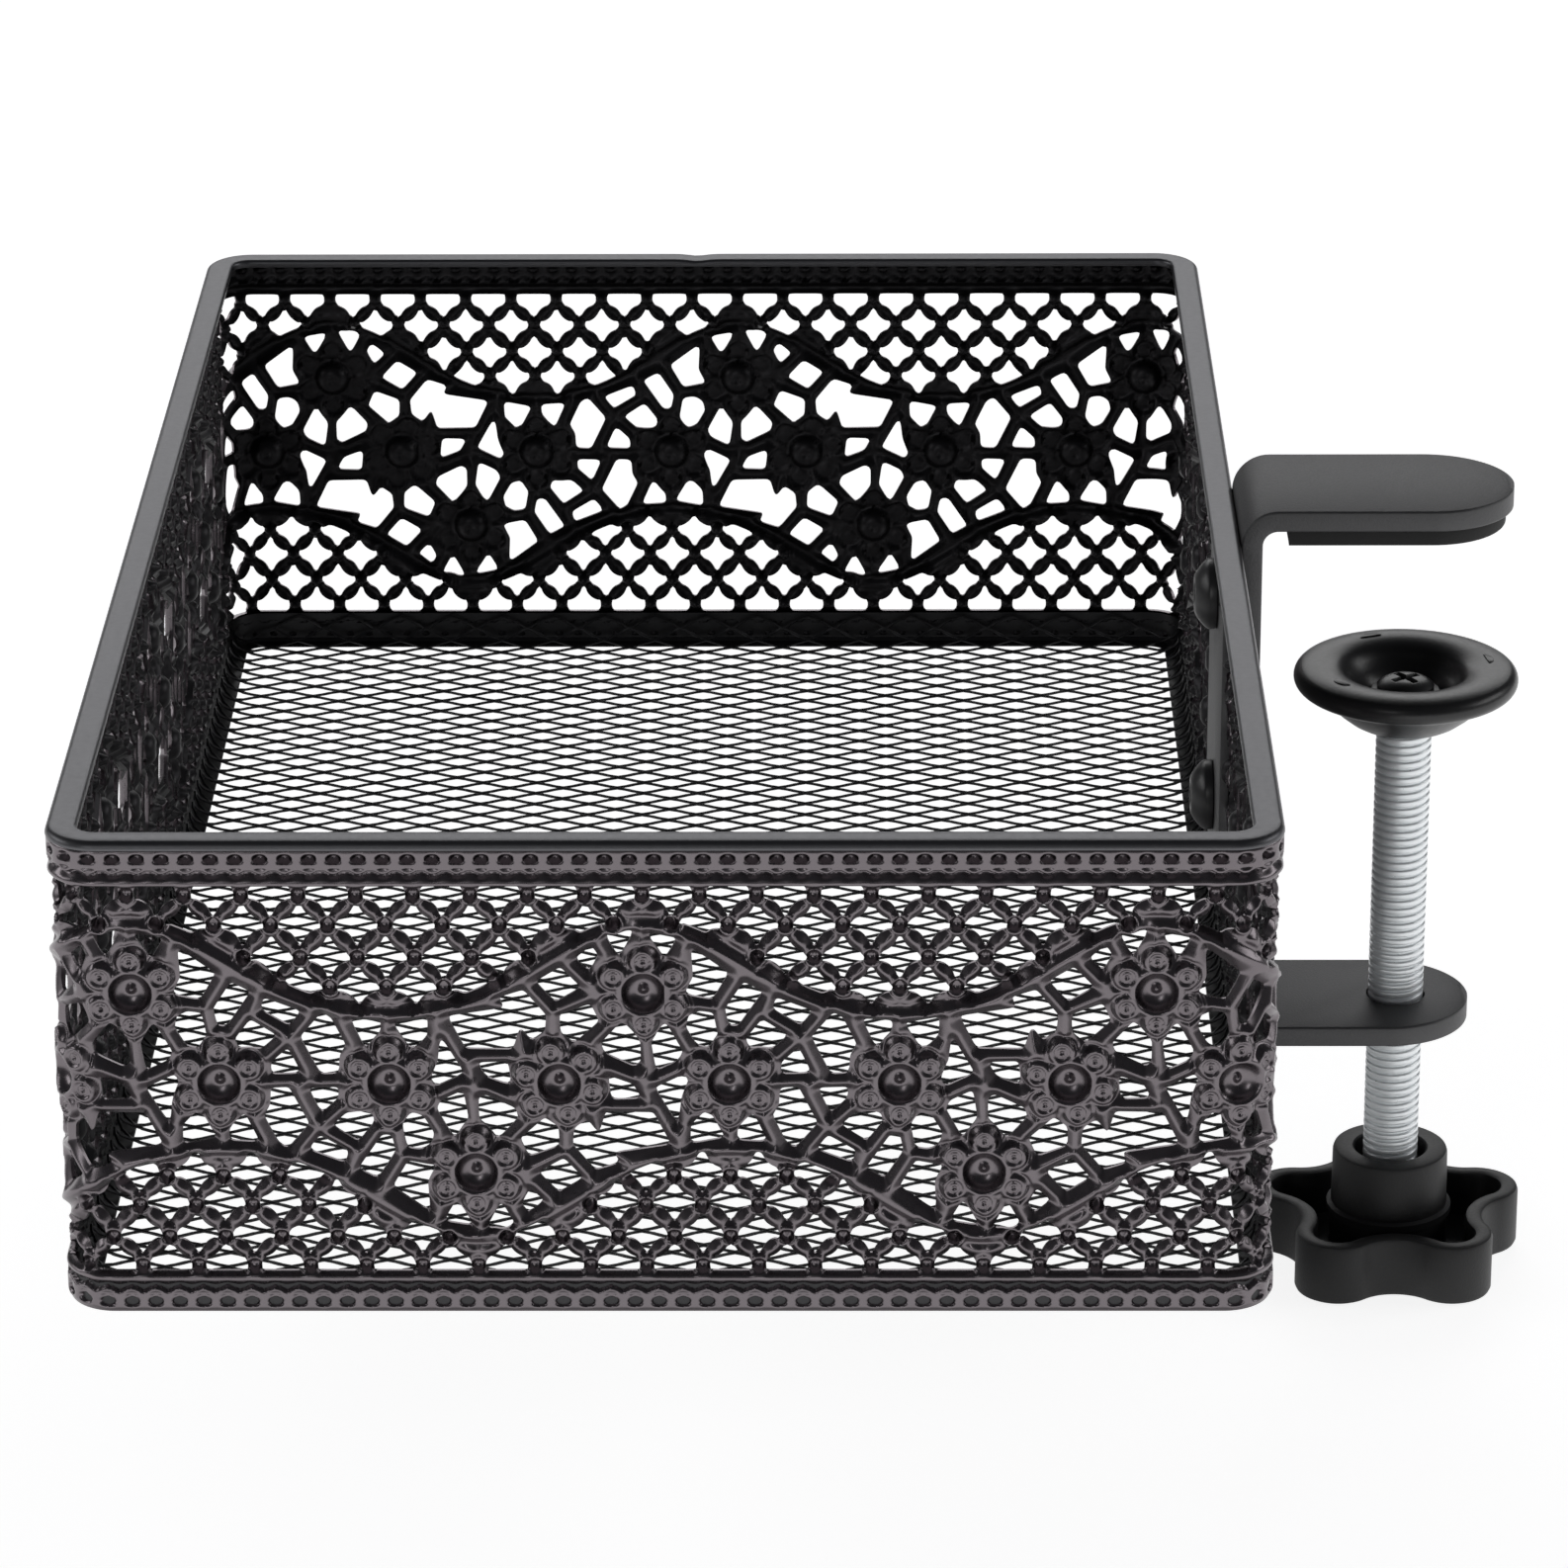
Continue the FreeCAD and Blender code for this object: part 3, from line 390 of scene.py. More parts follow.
def lace_fields(columns, rows, height):
    """The openings' distance in millimetres and the outer face's relief, over one period."""
    s = np.linspace(0, 6, columns, endpoint=False)[:, None] + np.zeros((1, rows))
    z = np.zeros((columns, 1)) + (np.linspace(0, height, rows) - STRIP_MIDDLE) / UNIT
    near_a, above_a, knots_a = upper_half(s, z)
    near_b, above_b, knots_b = upper_half(4 - s, -z)
    nearest = np.minimum(near_a, near_b)
    in_lattice = np.maximum(above_a, above_b)  # above 0 in either lattice
    knots = knots_a + [(4 - a, -b) for a, b in knots_b]

    # flowers: a six-petalled plate round a dish
    plate = np.full(s.shape, 1e9)
    dish = np.full(s.shape, 1e9)
    petal = np.full(s.shape, 1e9)
    for middle, level, turn in FLOWERS:
        x, y = wrapped(s, middle), z - level
        dish = np.minimum(dish, np.hypot(x, y))
        plate = np.minimum(plate, np.hypot(x, y) - PLATE)
        for number in range(6):
            angle = math.radians(90 + 60 * number + turn)
            lobe = np.hypot(x - PETAL_CIRCLE * math.cos(angle), y - PETAL_CIRCLE * math.sin(angle))
            petal = np.minimum(petal, lobe)
            plate = np.minimum(plate, lobe - PETAL)
    nearest = np.maximum(nearest, 0.015 - plate)

    # relief: every opening lies at the foot of a slope, so that the metal between is a ridge
    foot = 1 - np.clip(nearest / LIP, 0, 1)
    relief = -LIP_DEPTH * foot**1.12
    lattice = smoothstep(in_lattice / 0.06)
    relief += LATTICE_LEVEL * lattice
    # the ridge along each wave, with a channel on its lattice side
    for above in (above_a, above_b):
        relief += 0.42 * bump(above - 0.005, 0.04) - 0.85 * bump(above - 0.125, 0.06)
    # knots: a lipped pit where four leaves meet
    pit = np.full(s.shape, 1e9)
    for middle, level in knots:
        x, y = wrapped(s, middle), z - level
        pit = np.minimum(pit, np.hypot(x, y * 0.9))
    ring = bump(pit - 0.1, 0.03)
    relief = relief * (1 - 0.8 * ring) - 0.24 * ring
    relief -= KNOT_DEPTH * np.sqrt(np.clip(1 - (pit / KNOT) ** 2, 0, 1))
    # flower plates, dishes and petal rings
    proud = smoothstep((0.004 - plate) / 0.04)
    relief = relief * (1 - proud) + PLATE_LEVEL * proud
    relief -= 0.7 * bump(plate - 0.045, 0.03)
    relief -= DISH_DEPTH * np.sqrt(np.clip(1 - (dish / DISH) ** 2, 0, 1))
    relief += 0.3 * bump(dish - 0.275, 0.026) + 1.1 * bump(dish, 0.05)
    relief += 0.25 * bump(petal - 0.115, 0.022) - 0.5 * bump(petal - 0.08, 0.02)
    relief += 0.1 * bump(petal - 0.048, 0.018) - 0.9 * bump(petal, 0.026)
    # the bands along the edges: a ridge, a groove, a scalloped lip and a row of dimples
    level = np.abs(z)
    phase = np.where(z > 0, s, 4 - s)
    bead = np.mod(phase * BEADS / 6, 1) - 0.5
    bead_x = bead * 6 / BEADS
    band = smoothstep((level - 2.5) / 0.02)
    scallop = BEAD_LEVEL - 0.172 - 0.022 * np.cos(2 * math.pi * bead)
    climb = np.clip((level - BEAD_LINE - 0.03) / (scallop - BEAD_LINE - 0.03), 0, 1)
    flat = -0.1 - 1.5 * climb * (level < scallop)
    flat -= 1.2 * smoothstep((BEAD_LINE - 0.03 - level) / 0.04)
    eye = np.hypot(bead_x / 0.088, (level - BEAD_LEVEL) / 0.06)
    flat -= 1.7 * np.sqrt(np.clip(1 - eye**2, 0, 1))
    slot = np.hypot(bead_x / 0.085, (level - BEAD_LEVEL + 0.105) / 0.034)
    flat -= 0.4 * np.sqrt(np.clip(1 - slot**2, 0, 1))
    relief = relief * (1 - band) + flat * band
    relief = np.minimum(relief, 0.12 + 0.25 * (relief - 0.12))
    # the very edges turn in
    relief -= 0.5 * smoothstep((-z - 2.93) / 0.06)
    relief -= 0.5 * smoothstep((z - 2.96) / 0.03)
    nearest = (nearest - 0.018) * UNIT
    grid = 6 * UNIT / columns
    return blurred(nearest, 0.38 / grid), blurred(relief, 0.15 / grid)


def sample(field, i, j):
    """Bilinear value of a field that wraps along i."""
    size_i, size_j = field.shape
    j = np.clip(j, 0, size_j - 1.001)
    i0, j0 = np.floor(i).astype(int), np.floor(j).astype(int)
    fi, fj = i - i0, j - j0
    i0, i1 = np.mod(i0, size_i), np.mod(i0 + 1, size_i)
    low = field[i0, j0] * (1 - fi) + field[i1, j0] * fi
    high = field[i0, j0 + 1] * (1 - fi) + field[i1, j0 + 1] * fi
    return low * (1 - fj) + high * fj


def trimmed_grid(openings, step):
    """Every step-th point of one period, with the points at the openings' edges moved onto them.
    Returns their places in grid units and the cells that are kept."""
    size_i, size_j = openings.shape
    i, j = np.meshgrid(np.arange(0, size_i, step), np.arange(0, size_j, step), indexing="ij")
    i, j = i.astype(float), j.astype(float)
    slope_i = (np.roll(openings, -1, 0) - np.roll(openings, 1, 0)) / 2
    slope_j = np.gradient(openings, axis=1)
    value = openings[::step, ::step]
    steep = np.median(np.hypot(slope_i, slope_j))
    solid = value > 0.3 * step * steep
    right = np.roll(solid, -1, 0)
    kept = solid[:, :-1] | solid[:, 1:] | right[:, :-1] | right[:, 1:]
    used = np.zeros(solid.shape, bool)
    used[:, :-1] |= kept
    used[:, 1:] |= kept
    left = np.roll(kept, 1, 0)
    used[:, :-1] |= left
    used[:, 1:] |= left
    moving = used & ~solid
    moving[:, 0] = moving[:, -1] = False
    mi, mj = i[moving], j[moving]
    for _ in range(3):
        here = sample(openings, mi, mj)
        gi, gj = sample(slope_i, mi, mj), sample(slope_j, mi, mj)
        size = np.maximum(gi * gi + gj * gj, (0.35 * steep) ** 2)
        mi = mi - np.clip(here * gi / size, -1.2 * step, 1.2 * step)
        mj = mj - np.clip(here * gj / size, -1.2 * step, 1.2 * step)
    i[moving], j[moving] = mi, mj
    return i, j, kept


STRIP_HEIGHT = 80.9
COLUMNS = 312
ROWS = COLUMNS // 2 * 2 + 1
SIDES = {"lace_front": 2, "lace_back": 2, "lace_left": 3, "lace_right": 3}
FIRST_FLOWER = STARTS[0] + RUN_X / 2 - 84.3
BACK_SLIDE = 3.4


def slid(t):
    """Slides the pattern along the back wall, taking up the slack on the two long walls."""
    t = np.mod(t, AROUND)
    return np.interp(t, [0, STARTS[2], STARTS[3], STARTS[6], STARTS[7], AROUND],
                     [0, STARTS[2], STARTS[3] - BACK_SLIDE, STARTS[6] - BACK_SLIDE, STARTS[7], AROUND])


def strip_side(openings, relief, step, inward):
    """One face of the strip all round: points, quads, and each quad's column."""
    i, j, kept = trimmed_grid(openings, step)
    height = sample(relief, i, j) - inward
    t = np.concatenate([i + COLUMNS * n for n in range(PERIODS)]) * (PERIOD / COLUMNS)
    t = slid(t + FIRST_FLOWER)
    j = np.tile(j, (PERIODS, 1))
    height = np.tile(height, (PERIODS, 1))
    kept = np.tile(kept, (PERIODS, 1))
    x, y = outline(t, height)
    z = BASE_Z + j * STRIP_HEIGHT / (ROWS - 1)
    points = np.stack([x, y, z], -1).reshape(-1, 3)
    count, rows = t.shape
    ids = np.arange(count * rows).reshape(count, rows)
    nxt = np.roll(ids, -1, 0)
    quads = np.stack([ids[:, :-1], nxt[:, :-1], nxt[:, 1:], ids[:, 1:]], -1)
    column = np.broadcast_to(np.arange(count)[:, None], kept.shape)
    return points, quads, kept, column


def rim_edges(quads, kept):
    """Edges with metal on one side only, as pairs of ids, each with its cell's column."""
    pairs, columns = [], []
    count = kept.shape[0]
    column = np.broadcast_to(np.arange(count)[:, None], kept.shape)
    low = np.pad(kept[:, :-1], ((0, 0), (1, 0)))
    high = np.pad(kept[:, 1:], ((0, 0), (0, 1)))
    left = np.roll(kept, 1, 0)
    right = np.roll(kept, -1, 0)
    for bare, first, last in ((low, 0, 1), (right, 1, 2), (high, 2, 3), (left, 3, 0)):
        here = kept & ~bare
        pairs.append(np.stack([quads[..., first][here], quads[..., last][here]], -1))
        columns.append(column[here])
    return np.vstack(pairs), np.concatenate(columns)


def build_lace():
    openings, relief = lace_fields(COLUMNS, ROWS, STRIP_HEIGHT)
    outer, quads, kept, column = strip_side(openings, relief, 1, 0)
    edges, edge_column = rim_edges(quads, kept)
    # the opening's wall runs from the outer lip straight in to the inner lip
    inner_lip, *_ = strip_side(openings, relief, 1, SHEET_STEEL)
    inner, inner_quads, inner_kept, inner_column = strip_side(openings, relief, 2, SHEET_STEEL)
    total = PERIODS * COLUMNS
    cell_t = slid((np.arange(total) + 0.5) * (PERIOD / COLUMNS) + FIRST_FLOWER)
    part = np.clip(np.searchsorted(STARTS, cell_t, side="right") - 1, 0, 7)
    for index, wall in enumerate(WALL_NAMES):
        runs = SIDES.get(wall, 1)
        span = (STARTS[index + 1] - STARTS[index]) / runs
        for run in range(runs):
            begin = STARTS[index] + run * span
            mine = (part == index) & (cell_t >= begin) & (cell_t < begin + span)
            if run == runs - 1:
                mine = (part == index) & (cell_t >= begin)
            faces = [quads[kept & mine[column]]]
            walls = edges[mine[edge_column]]
            mine_inner = mine[::2]
            inside = inner_quads[inner_kept & mine_inner[inner_column]][:, ::-1]
            faces.append(inside + len(outer))
            offset = len(outer) + len(inner)
            lip = np.stack([walls[:, 1], walls[:, 0], walls[:, 0], walls[:, 1]], -1)
            lip[:, :2] += offset
            lip[:, 2:] += offset + len(outer)
            faces.append(lip)
            faces = np.vstack(faces)
            used, faces = np.unique(faces, return_inverse=True)
            points = np.vstack([outer, inner, outer, inner_lip])[used]
            name = wall + ("_%d" % (run + 1) if runs > 1 else "") + "_lace"
            made = add_mesh(
                name,
                points,
                faces.reshape(-1, 4),
                LACE_PAINT,
                "basket",
                [wall],
                smooth=80,
            )
            # the inner faces get the darker copy of the paint, which is painted shade
            made.data.materials.append(LACE_INSIDE_PAINTED_SHADE)
            side = np.zeros(len(made.data.polygons), np.int32)
            first_inner = int(np.count_nonzero(kept & mine[column]))
            side[first_inner : first_inner + len(inside)] = 1
            made.data.polygons.foreach_set("material_index", side)


build_lace()

# ---------------------------------------------------------------- rim


def build_rim():
    """A rolled bar round the top, with a small weld on the back."""
    t = np.concatenate(
        [
            np.linspace(STARTS[k], STARTS[k + 1], 24 if k % 2 else 120, endpoint=False)
            for k in range(8)
        ]
    )
    profile = [(-1.6, RIM_LOW), (-0.3, RIM_LOW), (-0.02, RIM_LOW + 0.12)]
    profile += arc((-RIM_OUTER, RIM_TOP - RIM_OUTER), RIM_OUTER, 0, 84, 10)
    profile += [(-1.9, RIM_TOP + 0.01), (-3.0, RIM_TOP), (-3.9, RIM_TOP - 0.03)]
    profile += arc((RIM_INNER - RIM_WIDTH, RIM_TOP - RIM_INNER), RIM_INNER, 80, 180, 8)
    profile += [(-RIM_WIDTH, RIM_LOW + 0.2), (0.2 - RIM_WIDTH, RIM_LOW), (-3.0, RIM_LOW)]
    profile = np.array(profile)
    rows = []
    for inward, z in profile:
        shift = np.zeros_like(t)
        if z > RIM_TOP - 1:
            middle = (STARTS[4] + STARTS[5]) / 2
            shift = -0.35 * np.exp(-(((t - middle - 1) / 2.2) ** 2))
        x, y = outline(t, inward + 0 * t)
        rows.append(np.stack([x, y, BASE_Z + z + shift], -1))
    rim = Builder()
    rim.grid(rows, close_u=True, close_v=True)
    rim.piece("rim_bar", RIM_PAINT, "basket", ["top_rim"], smooth=50, slot="basket_steel")


build_rim()

# ---------------------------------------------------------------- floor: expanded metal

MESH_LONG, MESH_SHORT = 10.3, 5.3
FLOOR_Z = BASE_Z + 0.75
FLOOR_GAP = 2.3  # from the walls' outer faces to the floor's turned-up edge
HEM_RADIUS = 4.2
HEM_TOP = 6.4


def bend(distance, half):
    """Takes a distance from the middle of the flat sheet to (across, up) with its edge turned up."""
    size = np.abs(distance)
    flat = half - HEM_RADIUS
    angle = np.clip((size - flat) / HEM_RADIUS, 0, math.pi / 2)
    rest = np.maximum(size - flat - HEM_RADIUS * math.pi / 2, 0)
    across = np.minimum(size, flat) + HEM_RADIUS * np.sin(angle)
    up = HEM_RADIUS * (1 - np.cos(angle)) + rest
    return np.sign(distance) * across, up, angle


def build_floor():
    half_x, half_y = WIDTH / 2 - FLOOR_GAP, DEPTH / 2 - FLOOR_GAP
    reach_x = half_x - HEM_RADIUS + HEM_RADIUS * math.pi / 2 + HEM_TOP - HEM_RADIUS
    reach_y = half_y - HEM_RADIUS + HEM_RADIUS * math.pi / 2 + HEM_TOP - HEM_RADIUS
    # one opening and the metal round it, out to the middle of its strands
    border = np.array(
        [(5.15, 0), (3.8, 0.86), (2.2, 1.79), (0, 2.65), (-2.2, 1.79), (-3.8, 0.86), (-5.15, 0)]
    )
    hole = np.array(
        [(4.5, 0), (3.45, 0.66), (1.9, 1.58), (0, 2.3), (-1.9, 1.58), (-3.45, 0.66), (-4.5, 0)]
    )
    border = np.vstack([border, border[-2:0:-1] * (1, -1)])
    hole = np.vstack([hole, hole[-2:0:-1] * (1, -1)])
    tilt = np.sign(hole[:, 1]) * np.minimum(np.abs(hole[:, 1]) / 0.8, 1)
    wall = 0.2
    rings = [
        np.column_stack([border, np.full(len(border), wall)]),
        np.column_stack([hole * 1.03, wall - 0.02 - 0.06 * tilt]),
        np.column_stack([hole, -0.06 * tilt]),
        np.column_stack([hole * 1.03, -wall + 0.02 - 0.06 * tilt]),
        np.column_stack([border, np.full(len(border), -wall)]),
    ]
    cell = np.array(rings)
    rings_count, around = cell.shape[:2]
    ids = np.arange(rings_count * around).reshape(rings_count, around)
    nxt = np.roll(ids, -1, 1)
    quads = np.stack([ids[:-1], ids[1:], nxt[1:], nxt[:-1]], -1).reshape(-1, 4)
    columns = int(reach_x / (MESH_LONG / 2))
    rows = int(reach_y / (MESH_SHORT / 2))
    points, faces, count = [], [], 0
    for row in range(-rows, rows + 1):
        for column in range(-columns, columns + 1):
            x0, y0 = column * MESH_LONG / 2, row * MESH_SHORT / 2
            outside_x = abs(x0) + 3.5 > reach_x
            outside_y = abs(y0) + 1.8 > reach_y
            in_corner = abs(x0) > half_x - 3.5 and abs(y0) > half_y - 3.5
            if (row + column) % 2 or outside_x or outside_y or in_corner:
                continue
            flat = cell.reshape(-1, 3) + (x0, y0, 0)
            flat[:, 0] = np.clip(flat[:, 0], -reach_x, reach_x)
            flat[:, 1] = np.clip(flat[:, 1], -reach_y, reach_y)
            across, up_x, turn_x = bend(flat[:, 0], half_x)
            along, up_y, turn_y = bend(flat[:, 1], half_y)
            lift = flat[:, 2]
            x = MIDDLE_X + across - np.sign(across) * np.sin(turn_x) * lift
            y = along - np.sign(along) * np.sin(turn_y) * lift
            z = FLOOR_Z + np.maximum(up_x, up_y) + lift * np.cos(np.maximum(turn_x, turn_y))
            points.append(np.stack([x, y, z], -1))
            faces.append(quads + count)
            count += len(flat)
    points, faces = np.vstack(points), np.vstack(faces)
    name = "floor_expanded_metal"
    made = add_mesh(name, points, faces, FLOOR_PAINT, "basket", ["floor_mesh"])
    weld(made.data, 0.01, 60)


def build_foot():
    """The walls' lower edge turns in under the mesh as a narrow shelf."""
    t = np.concatenate(
        [np.linspace(STARTS[k], STARTS[k + 1], 12 if k % 2 else 40, endpoint=False) for k in range(8)]
    )
    rows = []
    shelf = [(0.7, 0.1), (4.9, 0.1), (5.05, 0.25), (4.9, 0.4), (2.4, 0.4)]
    upright = [(1.7, 1.0), (1.6, 6.2), (1.1, 6.2), (0.7, 0.8)]
    for inward, z in shelf + upright:
        x, y = outline(t, -inward + 0 * t)
        rows.append(np.stack([x, y, BASE_Z + z + 0 * t], -1))
    foot = Builder()
    foot.grid(rows, close_u=True, close_v=True)
    foot.piece("turned_in_foot", FLOOR_PAINT, "basket", ["floor_hem"], smooth=40, slot="floor_steel")


build_floor()
build_foot()

# ---------------------------------------------------------------- clamp strap and jaw pad


def rounded_bar(path, width, thick, edge, steps=24):
    """A flat bar swept along a path in the XZ plane, with eased edges and half-round ends.
    path is the middle line; width is along Y."""
    path = np.asarray(path, float)
    step = np.linalg.norm(np.diff(path, axis=0), axis=1)
    along = np.concatenate([[0], np.cumsum(step)])
    total = along[-1]
    tangent = np.gradient(path, axis=0)
    tangent /= np.linalg.norm(tangent, axis=1)[:, None]
    normal = np.stack([-tangent[:, 1], tangent[:, 0]], -1)
    half = width / 2

    def width_at(distance):
        size = half
        for gap in (distance, total - distance):
            near = np.clip(half - gap, 0, half)
            size = min(size, math.sqrt(max(half * half - near * near, 1e-4)))
        return size

    stations = set(along)
    for start, sign in ((0, 1), (total, -1)):
        stations |= {start + sign * half * (1 - math.cos(a)) for a in np.linspace(0, math.pi / 2, steps)}
    stations = np.array(sorted(stations))
    stations = stations[np.concatenate([[True], np.diff(stations) > 1e-4])]
    corner = arc((0, 0), edge, 90, 0, 4)
    ring = [(1, 1, a, b) for a, b in corner]
    ring += [(1, -1, a, -b) for a, b in corner[::-1]]
    ring += [(-1, -1, -a, -b) for a, b in corner]
    ring += [(-1, 1, -a, b) for a, b in corner[::-1]]
    rows = []
    for distance in stations:
        x = np.interp(distance, along, path[:, 0])
        z = np.interp(distance, along, path[:, 1])
        nx = np.interp(distance, along, normal[:, 0])
        nz = np.interp(distance, along, normal[:, 1])
        size = math.hypot(nx, nz)
        nx, nz = nx / size, nz / size
        reach = width_at(distance)
        row = []
        for side, face, dy, dn in ring:
            y = side * max(reach - edge, 0) + dy * min(1, reach / edge)
            lift = face * (thick / 2 - edge) + dn
            row.append((x + nx * lift, y, z + nz * lift))
        rows.append(row)
    return np.array(rows)


STRAP_FACE, STRAP_THICK, STRAP_WIDTH = -30.85, 3.8, 30.5
JAW_TOP, ARM_TOP = 6.8, -91.9
JAW_TIP, ARM_TIP = 17.95, 13.05
BEND = 6.5
ARM_BORE = 5.35


def strap_path():
    half = STRAP_THICK / 2
    high, low = JAW_TOP - half, ARM_TOP - half
    x = STRAP_FACE + half
    radius = BEND - half
    path = [(JAW_TIP, high), (x + radius, high)]
    path += arc((x + radius, high - radius), radius, 90, 180, 14)[1:]
    path += arc((x + radius, low + radius), radius, 180, 270, 14)
    path += [(ARM_TIP, low)]
    return path


def build_strap():
    rows = rounded_bar(strap_path(), STRAP_WIDTH, STRAP_THICK, 0.45)
    strap = Builder()
    strap.grid(rows, close_v=True)
    made = strap.piece("clamp_strap_bar", CLAMP_PAINT, "basket", ["clamp_strap"], smooth=40, slot="clamp_steel")
    # the hole in the arm
    bore = bpy.data.meshes.new("bore")
    work = bmesh.new()
    bmesh.ops.create_cone(
        work,
        cap_ends=True,
        segments=64,
        radius1=ARM_BORE * MM,
        radius2=ARM_BORE * MM,
        depth=12 * MM,
        matrix=Matrix.Translation((0, 0, (ARM_TOP - STRAP_THICK / 2) * MM)),
    )
    work.to_mesh(bore)
    work.free()
    cutter = bpy.data.objects.new("bore", bore)
    bpy.context.scene.collection.objects.link(cutter)
    cut = made.modifiers.new("bore", "BOOLEAN")
    cut.operation = "DIFFERENCE"
    cut.solver = "EXACT"
    cut.object = cutter
    bpy.context.view_layer.update()
    shaped = bpy.data.meshes.new_from_object(made.evaluated_get(bpy.context.evaluated_depsgraph_get()))
    made.modifiers.clear()
    made.data = shaped
    bpy.data.objects.remove(cutter)
    shaped.shade_smooth()
    shaped.set_sharp_from_angle(angle=math.radians(40))


build_strap()


def normals_of(plan):
    """Unit normals that point out of a closed plan, given anticlockwise."""
    along = np.roll(plan, -1, 0) - np.roll(plan, 1, 0)
    outward = np.stack([along[:, 1], -along[:, 0]], -1)
    return outward / np.linalg.norm(outward, axis=1)[:, None]


def flat_plate(outline_points, low, high, edge, body, name, material, replaced, slot):
    """A flat plate of a plan outline with eased upper and lower edges."""
    plan = np.asarray(outline_points, float)
    outward = normals_of(plan)
    rows = []
    levels = [(-edge, low)] + [(-edge + a, low + edge - b) for a, b in arc((0, 0), edge, 90, 0, 4)[1:]]
    levels += [(-edge + a, high - edge + b) for a, b in arc((0, 0), edge, 0, 90, 4)]
    for inset, z in levels:
        moved = plan + outward * inset
        rows.append(np.column_stack([moved, np.full(len(plan), z)]))
    middle = plan.mean(0)
    bottom = np.column_stack([np.tile(middle, (len(plan), 1)), np.full(len(plan), low)])
    top = np.column_stack([np.tile(middle, (len(plan), 1)), np.full(len(plan), high)])
    built = Builder()
    built.grid([bottom] + rows + [top], close_v=True)
    return built.piece(name, material, body, replaced, smooth=40, slot=slot)


def build_jaw_pad():
    inset = 1.3
    half = STRAP_WIDTH / 2 - inset
    left, tip = STRAP_FACE + 8.4, JAW_TIP - inset
    plan = [(left, -half), (tip - half, -half)]
    plan += arc((tip - half, 0), half, -90, 90, 40)[1:-1]
    plan += [(tip - half, half), (left, half)]
    plan += [(left, y) for y in np.linspace(half, -half, 9)[1:-1]]
    flat_plate(plan, 0, 3.05, 0.4, "basket", "jaw_rubber_pad", RUBBER, ["jaw_pad"], "pad_rubber")


build_jaw_pad()

# ---------------------------------------------------------------- plate and screws inside


def turned_to_x(points):
    """Takes points built about +Z to the same about -X, out into the basket."""
    points = np.asarray(points, float)
    return np.stack([-points[..., 2], points[..., 1], points[..., 0]], -1)


PLATE_THICK = 1.6
PLATE_FACE = STRAP_FACE - SHEET
HEADS_Z = [BASE_Z + 47.2 + side * 19.3 for side in (-1, 1)]


def build_backing_plate():
    half_y, low, high, corner = 20.0, BASE_Z + 15.2, BASE_Z + 79.2, 3.0
    middle = (low + high) / 2
    half_z = (high - low) / 2
    plan = []
    for side_z, side_y, start in ((1, -1, 270), (1, 1, 0), (-1, 1, 90), (-1, -1, 180)):
        centre = (side_z * (half_z - corner), side_y * (half_y - corner))
        plan += arc(centre, corner, start, start + 90, 8)
    plan = np.array(plan)
    outward = normals_of(plan)
    rows = []
    for inset, depth in ((0, 0), (0, 1.25), (-0.12, 1.5), (-0.35, PLATE_THICK)):
        moved = plan + outward * inset
        rows.append(np.column_stack([moved, np.full(len(plan), depth)]))
    cap = np.column_stack([np.zeros((len(plan), 2)), np.full(len(plan), PLATE_THICK)])
    base = np.column_stack([np.zeros((len(plan), 2)), np.zeros(len(plan))])
    points = turned_to_x([base] + rows + [cap]) + (PLATE_FACE, 0, middle)
    plate = Builder()
    plate.grid(points, close_v=True)
    plate.piece("inner_backing_plate", CLAMP_PAINT, "basket", ["backing_plate"], smooth=40, slot="clamp_steel")


def hex_ring(radius, z, steps=96):
    """A hexagon of the given half width across flats, with as many points as a lathe ring."""
    angle = np.linspace(0, 2 * math.pi, steps, endpoint=False)
    turned = np.mod(angle + math.pi / 6, math.pi / 3) - math.pi / 6
    size = radius / np.cos(turned)
    return np.stack([size * np.cos(angle), size * np.sin(angle), np.full(steps, z)], -1)


def build_wall_screws():
    heads = Builder()
    for level in HEADS_Z:
        profile = [(3.0, -6.9), (3.0, 0.0), (6.05, 0.0), (6.3, 0.25), (6.3, 1.45)]
        profile += [(6.18, 1.72), (5.75, 2.25), (5.1, 2.85), (4.3, 3.45), (3.6, 3.85), (3.3, 3.97), (3.0, 4.0)]
        rows = list(lathe(profile))
        rows.append(hex_ring(2.15, 3.98))
        rows.append(hex_ring(2.0, 3.85))
        rows.append(hex_ring(2.0, 1.6))
        rows.append(np.tile([(0, 0, 1.3)], (96, 1)))
        rows.insert(0, np.tile([(0, 0, -6.9)], (96, 1)))
        points = turned_to_x(rows) + (PLATE_FACE - PLATE_THICK, 0, level)
        heads.grid(points, close_v=True)
    heads.piece("button_head_screws", SCREW_BLACK, "basket", ["wall_screws"], smooth=32, slot="black_screw")


build_backing_plate()
build_wall_screws()

# ---------------------------------------------------------------- clamp screw

SCREW_TOP, SCREW_FOOT = -35.2, -140.6
PITCH, ROOT, CREST = 1.5, 4.6, 5.0


